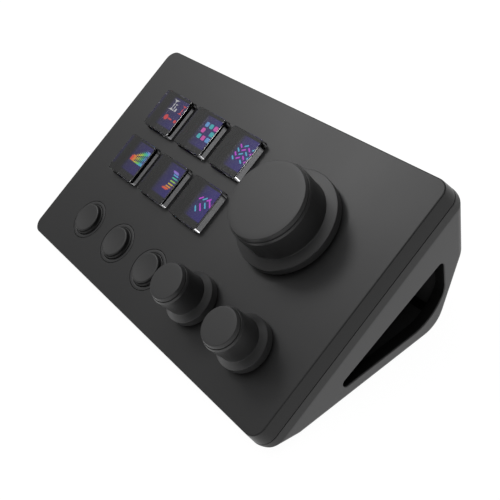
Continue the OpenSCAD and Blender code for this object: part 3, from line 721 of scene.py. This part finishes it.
standRounds = np.array([0.0, housing["kneeRound"], housing["heelRound"], housing["kneeRound"], 0.0, 0.0])
windowY = rearY - housing["windowRear"]
windowRun = (housing["windowTop"] - housing["windowSill"]) / math.tan(housing["windowTilt"])
windowLine = np.array([
    (windowY - windowRun, housing["windowSill"]),
    (windowY - housing["windowHeel"], housing["windowSill"]),
    (windowY, housing["windowKnee"]),
    (windowY, housing["windowTop"]),
])
feetPlaces = [(side * foot["x"], y) for y in (toeY + foot["fromToe"], heelY - foot["fromHeel"])
              for side in (-1, 1)]


# The side profile at x: every edge dips by its own quarter round near the side faces.
def sideSection(x, steps=14):
    inside = housing["halfWidth"] - abs(x)
    d, rear = dip(housing["edgeRound"], inside), dip(housing["rearRound"], inside)
    rounds = np.where(standRounds > 0, np.maximum(standRounds - d, 0.1), 0.0)
    outline = rounded(movedIn(standLine, [d, d, d, rear, d, d]), rounds, steps)
    return np.column_stack([np.full(len(outline), x), outline])


# The window's outline at x: it grows in a quarter round at the side faces.
def windowSection(x, steps=14):
    r = housing["windowEdge"]
    g = dip(r, max(housing["halfWidth"] - abs(x), 0.0))
    outline = rounded(movedIn(windowLine, -g), np.array(housing["windowRounds"]) + g, steps)
    return np.column_stack([np.full(len(outline), x), outline])


# Moves the rim in to a cone that meets the upright walls in a soft bend, and cuts the seam's groove.
# The distance outside the seam's outline is held to the smooth minimum of itself and of the cone's.
def softRim(points):
    local = worldToFace(points)
    n = local[:, 2]
    radius = deck["corner"] + min(deck["flareSide"], deck["flareEnd"])
    half = np.array([deck["width"] / 2 + deck["flareSide"], deck["depth"] / 2 + deck["flareEnd"]]) - radius
    q = np.abs(local[:, :2]) - half
    out = np.maximum(q, 0.0)
    length = np.linalg.norm(out, axis=1)
    distance = length + np.minimum(q.max(axis=1), 0.0) - radius
    cone = housing["rimSlope"] * (deck["seam"] - n)
    k = housing["rimBlend"]
    h = np.maximum(k - np.abs(distance - cone), 0.0) / k
    target = np.minimum(distance, cone) - h * h * k / 4
    depth, cut, bend = housing["groove"]
    below = deck["seam"] - depth - n
    target -= np.where(below < 0.0, cut, dip(bend, np.maximum(below, 0.0)) * (below < bend))
    low, inset = housing["rimReach"]
    active = (n > deck["seam"] - low) & (distance > -inset) & (distance > target)
    straight = np.stack([q[:, 0] >= q[:, 1], q[:, 0] < q[:, 1]], -1).astype(float)
    way = np.where(length[:, None] > 1e-6, out / np.maximum(length, 1e-6)[:, None], straight)
    local[:, :2] -= way * np.sign(local[:, :2]) * np.where(active, distance - target, 0.0)[:, None]
    return faceToWorld(local)


# Adds an edge line at each height above or below the face.
def facePlaneCuts(thing, levels):
    work = bmesh.new()
    work.from_mesh(thing.data)
    normal = Vector((0.0, -math.sin(deck["tilt"]), math.cos(deck["tilt"])))
    for level in levels:
        at = Vector(faceToWorld((0.0, 0.0, level)))
        bmesh.ops.bisect_plane(work, geom=work.verts[:] + work.edges[:] + work.faces[:], dist=1e-5,
                               plane_co=at, plane_no=normal)
    work.to_mesh(thing.data)
    work.free()


turn = np.linspace(0, math.pi / 2, 20)
across = housing["halfWidth"] - housing["rearRound"] * (1 - np.cos(turn))
sections = skin([sideSection(x) for x in (*-across, *across[::-1])])
housingShell = newObject("housingShell", placed(sections, standToWorld))


# The rim's outline at a height: it widens evenly downwards from the seam.
def rimOutline(z):
    grow = housing["rimSlope"] * (deck["seam"] - z)
    width = deck["width"] + 2 * (deck["flareSide"] + grow)
    depth = deck["depth"] + 2 * (deck["flareEnd"] + grow)
    return plateOutline(width, depth, deck["corner"] + deck["flareEnd"] + grow, z, 20)


# A round peg beside the socket, from the rear wall forwards.
def socketPeg(x, steps=32):
    radius, length = socket["peg"]
    ring = circle(radius, (x, socket["height"]), 0.0, steps)
    return skin([np.column_stack([ring[:, 0], np.full(steps, y), ring[:, 1]])
                 for y in (rearY - length, rearY)])


rimBody = skin([rimOutline(z) for z in (-far / 2, deck["seam"])])
combine(housingShell, placed(rimBody, faceToWorld), "INTERSECT")
innerRounds = np.maximum(standRounds - housing["wall"], 0.1) * (standRounds > 0)
innerLine = rounded(movedIn(standLine, housing["wall"]), innerRounds, 8)
postRadius, postTop = housing["screwPost"]
posts = together(*[placed(peg(postRadius, -60.0, postTop, p), faceToWorld) for p in baseScrews],
                 *[placed(socketPeg(x), standToWorld) for x in (-socket["pegX"], socket["pegX"])])
lowerHalf, upperHalf = (housing["halfWidth"] - housing[wall] for wall in ("sideWall", "bayWall"))
underTray = brick((-far, -far, -far), (far, far, housing["trayStep"] - housing["trayDepth"]))
overTray = skin([plateOutline(2 * upperHalf, 2 * housing["bayHalfDepth"], housing["bayRound"], z)
                 for z in (-housing["trayDepth"], 60.0)])
for name, half, limit in (("lower", lowerHalf, underTray), ("upper", upperHalf, overTray)):
    hollow = newObject(name, placed(sideways(innerLine, half), standToWorld))
    combine(hollow, placed(limit, faceToWorld), "INTERSECT")
    combine(hollow, posts)
    combine(housingShell, hollow)
edge = housing["windowEdge"]
bend = housing["halfWidth"] - edge * (1 - np.cos(np.linspace(0, math.pi / 2, 7)))
stations = np.concatenate([[-far], -bend, bend[::-1], [far]])
combine(housingShell, placed(skin([windowSection(x) for x in stations]), standToWorld))


def stadium(width, depth, z, grow=0.0, steps=16):
    return plateOutline(width + 2 * grow, depth + 2 * grow, (depth + 2 * grow) / 2 - 1e-4, z, steps)


recesses = [skin([stadium(*foot["recess"], z) + (*p, 0.0) for z in (-2.0, foot["depth"])])
            for p in feetPlaces]
mouth, flare = [], socket["flare"]
for y, g in ((socket["inner"], 0.0), (rearY - 0.3, 0.0), (rearY - 0.1, flare / 5), (rearY, flare),
             (rearY + 5.0, flare)):
    ring = stadium(*socket["mouth"], 0.0, g)[::-1]
    mouth.append(np.column_stack([ring[:, 0], np.full(len(ring), y), socket["height"] + ring[:, 1]]))
combine(housingShell, placed(together(*recesses, skin(mouth)), standToWorld))
head, seat, shank = housing["screwBore"]
drills = [lathe([(head, -60.0), (head, seat), (shank, seat), (shank, 10.0)], p, 40) for p in baseScrews]
combine(housingShell, placed(together(*drills), faceToWorld))
seam, grooveDepth, grooveBend = deck["seam"], housing["groove"][0], housing["groove"][2]
levels = [seam - grooveDepth + 0.005, seam - grooveDepth - 0.005]
levels += list(seam - grooveDepth - grooveBend * np.array([0.12, 0.3, 0.55, 1.0]))
levels += list(seam - np.array([0.7, 1.1, 1.4, 1.65, 1.85, 2.05, 2.25, 2.45, 2.65, 2.85, 3.05, 3.3, 3.6]))
facePlaneCuts(housingShell, levels)
moveMesh(housingShell, softRim)
finishPiece(housingShell, "body", "housing", ["base_housing"], 26.0)
# The faces inside the side windows carry painted shade: their colour is darkened to stand in for the shade
# inside the tunnel.
centres = readRows(housingShell.data.polygons, "center") * 1000.0 - standToWorld((0.0, 0.0, 0.0))
x, y, z = np.abs(centres[:, 0]), centres[:, 1], centres[:, 2]
tunnelShadeFaces = (x < housing["halfWidth"] - 0.6) & (y > windowLine[0, 0] - 1.0) & (y < windowY + 0.6)
tunnelShadeFaces &= (z > housing["windowSill"] - 0.4) & (z < housing["windowTop"] + 2.6)
paintedShade = housingShell.data.attributes.new("paintedShade", "FLOAT", "FACE")
paintedShade.data.foreach_set("value", tunnelShadeFaces.astype(np.float32))
print("housing made", len(housingShell.data.polygons))

# Key caps: solid clear blocks
keys = {
    "size": (14.9, 14.7), "corner": 1.0,
    "top": 2.6, "bottom": -3.0, "topRound": 0.32,
    "flange": 0.8, "flangeTop": -2.3, "lip": 0.1, "rootRound": 0.08,
}


# Flange, upright walls and a rounded top edge, as one stack of outlines.
def keyCapSolid(place):
    w, d = keys["size"]
    f, r, lip, root = keys["flange"], keys["topRound"], keys["lip"], keys["rootRound"]
    low, shelf = keys["bottom"], keys["flangeTop"]
    turn = np.linspace(0, math.pi / 2, 7)
    rows = [(f - lip, low), (f, low + lip), (f, shelf - lip), (f - lip, shelf)]
    rows += [(root, shelf), (0.0, shelf + root)]
    rows += [(-r * (1 - math.cos(t)), keys["top"] - r * (1 - math.sin(t))) for t in turn]
    return skin([plateOutline(w + 2 * g, d + 2 * g, max(keys["corner"] + g, 0.3), z, 8) + (*place, 0.0)
                 for g, z in rows])


for number, place in enumerate(keyPlaces, 1):
    keyBlock = faceObject(f"keyBlock{number}", keyCapSolid(place))
    finishPiece(keyBlock, f"key_{number}", "key_cap", [f"key_cap_{number}"], 40.0)
print("keys made")

# Displays: a module on its stand under each key, and a lit film with a motif against the cap's underside
panel = {
    "half": (6.6, 6.5), "top": -4.6, "thickness": 1.6, "round": 0.4,
    "standHalf": (5.8, 5.7), "standRound": 0.2, "bottom": -8.6,
}
film = {
    "half": (6.85, 6.8),
    "top": -3.06,
    "thickness": 0.12,
    "ink": 0.03,
    "sink": 0.005,
    # Painted light: the glow's left end and level for each key column stand in for the change, from column
    # to column, of the display's light seen through the blocks.
    "paintedGlowLeft": (-6.0, -5.2, -4.5),
    "level": (0.72, 0.9, 1.1),
    "motifScale": 0.9,
    "motifCentre": [(0.2, 1.7), (0.9, 1.0), (1.6, 0.9), (0.5, 1.2), (0.9, 1.3), (1.5, 0.5)],
}


def addFloats(mesh, name, kind, domain, values):
    attribute = mesh.attributes.new(name, kind, domain)
    field = {"FLOAT_VECTOR": "vector", "FLOAT_COLOR": "color"}[kind]
    attribute.data.foreach_set(field, np.ascontiguousarray(values, dtype=np.float32).ravel())


# A plate with bevelled lower edges and softened upper ones.
def plateSolid(place, half, low, top, corner, edge):
    soft = edge * 0.3
    rows = [(-edge, low), (0.0, low + edge), (0.0, top - edge), (-soft, top - soft), (-edge, top)]
    return skin([plateOutline(2 * (half[0] + g), 2 * (half[1] + g), corner, z, 4) + (*place, 0.0)
                 for g, z in rows])


moduleSolids, underside = [], panel["top"] - panel["thickness"]
for place in keyPlaces:
    moduleSolids += [
        plateSolid(place, panel["half"], underside, panel["top"], panel["round"], 0.06),
        plateSolid(place, panel["standHalf"], panel["bottom"], underside, panel["standRound"], 0.03),
    ]
modules = faceObject("displayModules", *moduleSolids)
finishPiece(modules, "body", "screen", ["displays"], colour="module")
for number, place in enumerate(keyPlaces, 1):
    low = film["top"] - film["thickness"]
    layer = plateSolid(place, film["half"], low, film["top"], panel["round"], 0.02)
    sheet = faceObject(f"screenFilm{number}", layer)
    finishPiece(sheet, f"key_{number}", "screen")
    column = (number - 1) % 3
    points = worldToFace(readRows(sheet.data.vertices, "co") * 1000.0)
    points -= (place[0] + film["paintedGlowLeft"][column], place[1], 0.0)
    points[:, 2] = np.where(points[:, 2] < film["top"] - 0.01, 0.0, film["level"][column])
    addFloats(sheet.data, "panel", "FLOAT_VECTOR", "POINT", points)


# Outlines that the motifs are made of: a bar with round ends, a dot and a tile
def bar(x, y, length, width, angle=0.0):
    outline = plateOutline(length, width, width / 2 - 1e-3, 0.0, 5)[:, :2]
    c, s = math.cos(angle), math.sin(angle)
    return outline @ np.array([[c, s], [-s, c]]) + (x, y)


def dot(x, y, radius, sides=20):
    return circle(radius, (x, y), 0.0, sides)[:, :2]


def tile(x, y, size):
    return plateOutline(size, size, size * 0.25, 0.0, 4)[:, :2] + (x, y)


# Red, orange, yellow, green, blue and violet as the share runs from 0 to 1.
def hue(share):
    stops = np.array([(1.0, 0.08, 0.05), (1.0, 0.45, 0.03), (0.75, 0.8, 0.05),
                      (0.1, 0.8, 0.15), (0.05, 0.55, 0.9), (0.45, 0.2, 0.9)])
    at = share * (len(stops) - 1)
    i = min(int(at), len(stops) - 2)
    return tuple(stops[i] * (1 - at + i) + stops[i + 1] * (at - i))


white, red, teal, sky = (0.75, 0.75, 0.75), (0.9, 0.06, 0.07), (0.06, 0.6, 0.65), (0.15, 0.45, 0.9)
pink, magenta, cyan = (0.9, 0.1, 0.55), (0.75, 0.06, 0.85), (0.1, 0.6, 0.85)
pair = (cyan, magenta)
columns = [(bar(-3.6 + 1.4 * i, 2.4 - 0.8 * i, 0.55, 4.6 - 1.6 * i), white) for i in range(3)]
columns += [(dot(-3.0, -3.2, 1.15), red), (bar(-0.4, -3.2, 2.4, 0.6), red),
            (bar(2.6, 2.0, 0.55, 3.8), red), (dot(3.0, -3.2, 0.7), red)]
tiles = [(tile(-3.0 + 2.6 * i, 3.0 - 2.6 * j, 1.9), (sky, teal, pink)[(i + 2 * j) % 3])
         for i in range(3) for j in range(3) if (i, j) != (1, 1)]
weave = [(bar(-3.9 + 2.2 * i, -2.6 + 1.7 * j + 0.8 * (i % 2), 1.9, 0.6, 0.6 if i % 2 else -0.6),
          pair[(i + j) % 2]) for i in range(4) for j in range(4)]
fan = [(bar(-4.3 + 0.95 * i, 0.25 * i - 1.0, 0.62, 2.0 + 0.55 * i), hue(i / 9)) for i in range(9)]
crescent = [(bar(1.98 * math.cos(a) - 0.6, 3.6 * math.sin(a), 3.0, 0.55), hue((math.sin(a) + 1) / 2))
            for a in np.linspace(-1.45, 1.45, 9)]
chevrons = [(bar(-2.8 + 1.5 * i, -2.2 + 1.3 * i, 2.6 + 0.7 * (i % 2), 0.6, -0.75), pair[i % 2])
            for i in range(4)]
chevrons += [(bar(-3.6 + 1.9 * i, 2.0 + 0.4 * i, 2.2, 0.6, 0.75), pair[(i + 1) % 2]) for i in range(3)]
motifs = (columns, tiles, weave, fan, crescent, chevrons)
for number, (place, motif) in enumerate(zip(keyPlaces, motifs), 1):
    centre, size = np.add(place, film["motifCentre"][number - 1]), film["motifScale"]
    inkLow, inkTop = film["top"] - film["sink"], film["top"] + film["ink"]
    solids = [slab(outline * size + centre, inkLow, inkTop) for outline, colour in motif]
    colours = [np.tile((*colour, 1.0), (len(solid[0]), 1))
               for solid, (outline, colour) in zip(solids, motif)]
    vertices, faces = placed(together(*solids), faceToWorld)
    mesh = bpy.data.meshes.new(f"screenMotif{number}")
    mesh.from_pydata((vertices * 0.001).tolist(), [], faces)
    addFloats(mesh, "ink", "FLOAT_COLOR", "POINT", np.concatenate(colours))
    mesh.materials.append(paint["motif"])
    drawing = addObject(mesh.name, mesh)
    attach(drawing, f"key_{number}")
print("displays made")

# Buttons and their rings
button = {
    "radius": 5.7, "top": 5.15, "height": 1.6, "round": 0.4, "foot": 0.1, "dish": 0.2,
    "flange": 6.8, "flangeLow": -3.8, "flangeTop": -3.0, "lip": 0.1,
    "ringIn": 5.85, "ringOut": 6.95, "ringFlange": 7.9, "ringLow": -2.8, "ringShelf": -2.0,
}
pinhole = 0.05  # the radius at which a lathed profile is closed by one small face


# Flange, short upright foot, a quarter ellipse for the flank, a quarter round at the top edge
# and a dished top.
def buttonCapProfile():
    r, t, h, e = button["radius"], button["top"], button["height"], button["round"]
    f, low, shelf, lip = button["flange"], button["flangeLow"], button["flangeTop"], button["lip"]
    turn = np.linspace(0, math.pi / 2, 15)
    rise = (h - e - button["foot"]) * (1 - np.cos(turn))
    flank = np.stack([r - (r - t) * np.sin(turn), button["foot"] + rise], -1)
    edge = np.stack([t - e + e * np.cos(turn), h - e + e * np.sin(turn)], -1)
    inward = np.linspace(t - e, pinhole, 12)[1:]
    hollow = np.stack([inward, h - button["dish"] * (1 - (inward / (t - e)) ** 2)], -1)
    return [(pinhole, low), (f - lip, low), (f, low + lip), (f, shelf - lip), (f - lip, shelf), (r, shelf),
            *flank, *edge[1:], *hollow]


for number, place in enumerate(buttonPlaces, 1):
    cap = faceObject(f"buttonCap{number}", lathe(buttonCapProfile(), place, 120))
    finishPiece(cap, f"button_{number}", "button", [f"button_cap_{number}"], 50.0)
inner, outer, rim = button["ringIn"], button["ringOut"], button["ringFlange"]
low, shelf = button["ringLow"], button["ringShelf"]
ringLine = rounded([(inner, low), (rim, low), (rim, shelf), (outer, shelf), (outer, 0.0), (inner, 0.0)],
                   [0.1, 0.1, 0.1, 0.0, 0.1, 0.14], 5)
rings = faceObject("buttonRings", *[lathe(ringLine, p, 120, loop=True) for p in buttonPlaces])
finishPiece(rings, "body", "button_ring", ["button_rings"], 50.0)
print("buttons made")

# Knobs
knob = {
    "height": 14.5, "gap": 0.9, "rimTop": 3.5, "wall": 1.4,
    "ridge": 0.42, "ridgeTop": 13.15, "ridgeFall": 0.65, "ridgeFlat": 0.12, "groove": 0.08,
    "hub": 4.5, "hubBottom": 3.2, "bore": 3.05, "boreTop": 10.7,
    "spigot": 3.6, "spigotLow": 10.9, "spigotRoom": 0.05,
    "capSeat": 12.1, "capFall": 0.95, "capSlope": 0.36, "crown": 0.04,
    "large": {"skirt": 16.1, "grip": 12.95, "foot": 4.2, "hollow": 9.5, "hollowRound": 0.2, "steps": 200},
    "left": {"skirt": 8.1, "grip": 6.35, "foot": 5.1, "hollow": 4.1, "hollowRound": 0.1, "steps": 144},
}
knob["right"] = knob["left"]


# Bore, hub, hollow underside, skirt rim, cone, grip, ridge and seat, with small rounds at the edges.
def knobProfile(kind):
    k, s = knob, knob[kind]
    wall, ceiling = s["grip"] - k["wall"], k["rimTop"] - k["wall"]
    ridge, spigot = s["grip"] - k["ridge"], k["spigot"] + k["spigotRoom"]
    points = [
        (k["bore"], k["boreTop"], 0.0), (k["bore"], k["hubBottom"], 0.1), (k["hub"], k["hubBottom"], 0.2),
        (k["hub"], s["hollow"], s["hollowRound"]), (wall, s["hollow"], s["hollowRound"]),
        (wall, ceiling, 0.1), (s["skirt"] - k["wall"], ceiling, 0.3),
        (s["skirt"] - k["wall"], k["gap"], 0.15), (s["skirt"], k["gap"], 0.25),
        (s["skirt"], k["rimTop"], 0.3), (s["grip"], s["foot"], 0.25),
        (s["grip"], k["ridgeTop"] - k["ridgeFall"], 0.15), (ridge + k["ridgeFlat"], k["ridgeTop"], 0.06),
        (ridge, k["ridgeTop"], 0.04), (ridge, k["capSeat"], 0.05),
        (spigot, k["capSeat"], 0.05), (spigot, k["spigotLow"], 0.0),
    ]
    return rounded([p[:2] for p in points], [p[2] for p in points], 6, closed=False)


# Spigot, flat underside, short upright edge, sloping edge and a top that is crowned by a hair.
def knobCapProfile(kind):
    k, s = knob, knob[kind]
    r = s["grip"] - k["ridge"] - k["groove"]
    top, flat = k["height"] - k["crown"], r - k["capSlope"]
    edge = rounded([(k["spigot"], k["spigotLow"]), (k["spigot"], k["capSeat"]), (r, k["capSeat"]),
                    (r, top - k["capFall"]), (flat, top), (0.0, top)],
                   [0.0, 0.0, 0.1, 0.12, 0.2, 0.0], 6, closed=False)[:-1]
    inner = np.linspace(flat, pinhole, 9)[1:]
    crown = np.stack([inner, k["height"] - k["crown"] * (inner / r) ** 2], -1)
    return np.concatenate([edge, crown])


for kind, place in knobPlaces.items():
    steps = knob[kind]["steps"]
    grip = faceObject(f"{kind}Grip", lathe(knobProfile(kind), place, steps))
    finishPiece(grip, f"{kind}_dial", "knob", [f"{kind}_knob"], 45.0)
    disc = faceObject(f"{kind}Disc", lathe(knobCapProfile(kind), place, steps))
    finishPiece(disc, f"{kind}_dial", "knob_cap", [f"{kind}_knob_cap"], 45.0)
print("knobs made")

# Feet: the lower edge is rounded off in four steps
feetNames = ("foot_front_left", "foot_front_right", "foot_rear_left", "foot_rear_right")
padRows = [(-0.3, -deck["footProud"]), (-0.14, -0.46), (-0.04, -0.35), (0.0, -0.2), (0.0, foot["depth"])]
for name, place in zip(feetNames, feetPlaces):
    rings = [stadium(*foot["size"], z, g) + (*place, 0.0) for g, z in padRows]
    pad = newObject("pad_" + name, placed(skin(rings), standToWorld))
    finishPiece(pad, "body", "foot_rubber", [name], 50.0)

# Screws with a six-sided recess
screw = {"head": 2.0, "headHeight": 1.2, "shank": 1.0, "recess": 0.95, "recessDepth": 0.75}
screwSets = [
    ("tray_screws", -14.0, 7.4, caseScrews),
    ("base_screws", -8.2, 4.0, baseScrews),
]


# Head with a rounded rim, and the plain shank above it.
def screwSolid(low, length, place):
    s, h = screw, low + screw["headHeight"]
    corners = [(s["recess"] + 0.15, low), (s["head"], low), (s["head"], h)]
    corners += [(s["shank"], h), (s["shank"], h + length)]
    outline = rounded(corners, [0.0, 0.35, 0.1, 0.1, 0.0], 6, closed=False)
    return lathe(outline, place, 48)


# The recess is six-sided, with a tapered mouth.
def recessSolid(low, place):
    r = screw["recess"]
    steps = [(r + 0.2, low - 0.3), (r + 0.1, low), (r, low + 0.12), (r, low + screw["recessDepth"])]
    return skin([circle(radius, place, z, 6) for radius, z in steps])


for name, low, length, places in screwSets:
    screws = faceObject("set_" + name, *[screwSolid(low, length, p) for p in places])
    combine(screws, placed(together(*[recessSolid(low, p) for p in places]), faceToWorld))
    finishPiece(screws, "body", "screw_metal", [name], 35.0)
print("feet and screws made")

# Studio: the camera's place and axes are in face coordinates, its focal length is in picture points
studio = {
    "floorHalf": 4.0,
    "sensor": 36.0,
    "focal": 789.71,
    "pixels": 500.0,
    "eye": (177.373, -12.133, 165.910),
    "right": (0.60052753, 0.61134881, -0.51538269),
    "down": (0.42789557, -0.79019495, -0.43874517),
    "forward": (-0.67547913, 0.04294858, -0.73612727),
}


def toWorldDirection(direction):
    c, s = math.cos(deck["tilt"]), math.sin(deck["tilt"])
    x, y, z = direction
    return Vector((x, y * c - z * s, y * s + z * c))


camera = addObject("camera", bpy.data.cameras.new("camera"))
right, down, forward = (toWorldDirection(studio[axis]) for axis in ("right", "down", "forward"))
turnTo = Matrix((right, -down, -forward)).transposed()
camera.matrix_world = Matrix.Translation(Vector(faceToWorld(studio["eye"])) * 0.001) @ turnTo.to_4x4()
camera.data.sensor_width = studio["sensor"]
camera.data.lens = studio["focal"] / studio["pixels"] * studio["sensor"]
camera.data.clip_start, camera.data.clip_end = 0.01, 20.0
bpy.context.scene.camera = camera

floorMesh = bpy.data.meshes.new("floor")
half = studio["floorHalf"]
floorMesh.from_pydata([(-half, -half, 0.0), (half, -half, 0.0), (half, half, 0.0), (-half, half, 0.0)],
                      [], [(0, 1, 2, 3)])
floor = addObject("floor", floorMesh)
p = Paint("floorPaper")
mottle = p.noise(p.place(1.0), 3.0, 2.0)
p.shader.inputs["Emission Strength"].default_value = 0.97
p.shader.inputs["Specular IOR Level"].default_value = 0.1
paper = p.blend(mottle, (0.09, 0.09, 0.09), (0.10, 0.10, 0.10))
floorMesh.materials.append(p.set(Base_Color=paper, Roughness=0.9, Emission_Color=(1.0, 1.0, 1.0)))

# Soft studio light: wide lobes of light from two sides over a dim room, and one softbox.
# Each lobe is strength * exp(focus * (cosine of the angle from its middle - 1)).
lobes = [
    {"azimuth": 172.0, "elevation": 65.0, "focus": 5.9, "strength": 1.66},
    {"azimuth": 320.0, "elevation": 67.0, "focus": 10.5, "strength": 0.465},
]
keyLight = {
    "azimuth": 189.0, "elevation": 51.0, "distance": 1.2,
    "target": (0.0, 0.0, 0.025), "size": (0.34, 0.24), "power": 2.3,
}


def skyDirection(azimuth, elevation):
    a, e = math.radians(azimuth), math.radians(elevation)
    return Vector((math.cos(e) * math.cos(a), math.cos(e) * math.sin(a), math.sin(e)))


world = bpy.data.worlds.new("studio")
bpy.context.scene.world = world
world.use_nodes = True
sky = Graph(world.node_tree)
toSky = sky.vector("NORMALIZE", sky.node("ShaderNodeTexCoord", output="Generated"))
glow = 0.04  # the dim room
for lobe in lobes:
    near = sky.vector("DOT_PRODUCT", toSky, tuple(skyDirection(lobe["azimuth"], lobe["elevation"])))
    glow = ((near - 1.0) * lobe["focus"]).math("EXPONENT") * lobe["strength"] + glow
seen = sky.node("ShaderNodeLightPath", output="Is Camera Ray")
background = world.node_tree.nodes["Background"]
feed(world.node_tree, background.inputs[0], (1.0, 1.0, 1.0))
feed(world.node_tree, background.inputs[1], glow.math("MAXIMUM", seen))

light = bpy.data.lights.new("keySoftbox", "AREA")
light.shape, light.size, light.size_y, light.energy = "RECTANGLE", *keyLight["size"], keyLight["power"]
softbox = addObject("keySoftbox", light)
toSoftbox = skyDirection(keyLight["azimuth"], keyLight["elevation"])
softbox.location = Vector(keyLight["target"]) + toSoftbox * keyLight["distance"]
softbox.rotation_mode = "QUATERNION"
softbox.rotation_quaternion = toSoftbox.to_track_quat("Z", "Y")
view, cycles = bpy.context.scene.view_settings, bpy.context.scene.cycles
view.view_transform, view.look, view.exposure, view.gamma = "Standard", "None", 0.0, 1.0
cycles.use_denoising = True
cycles.max_bounces, cycles.transmission_bounces, cycles.glossy_bounces = 16, 12, 8
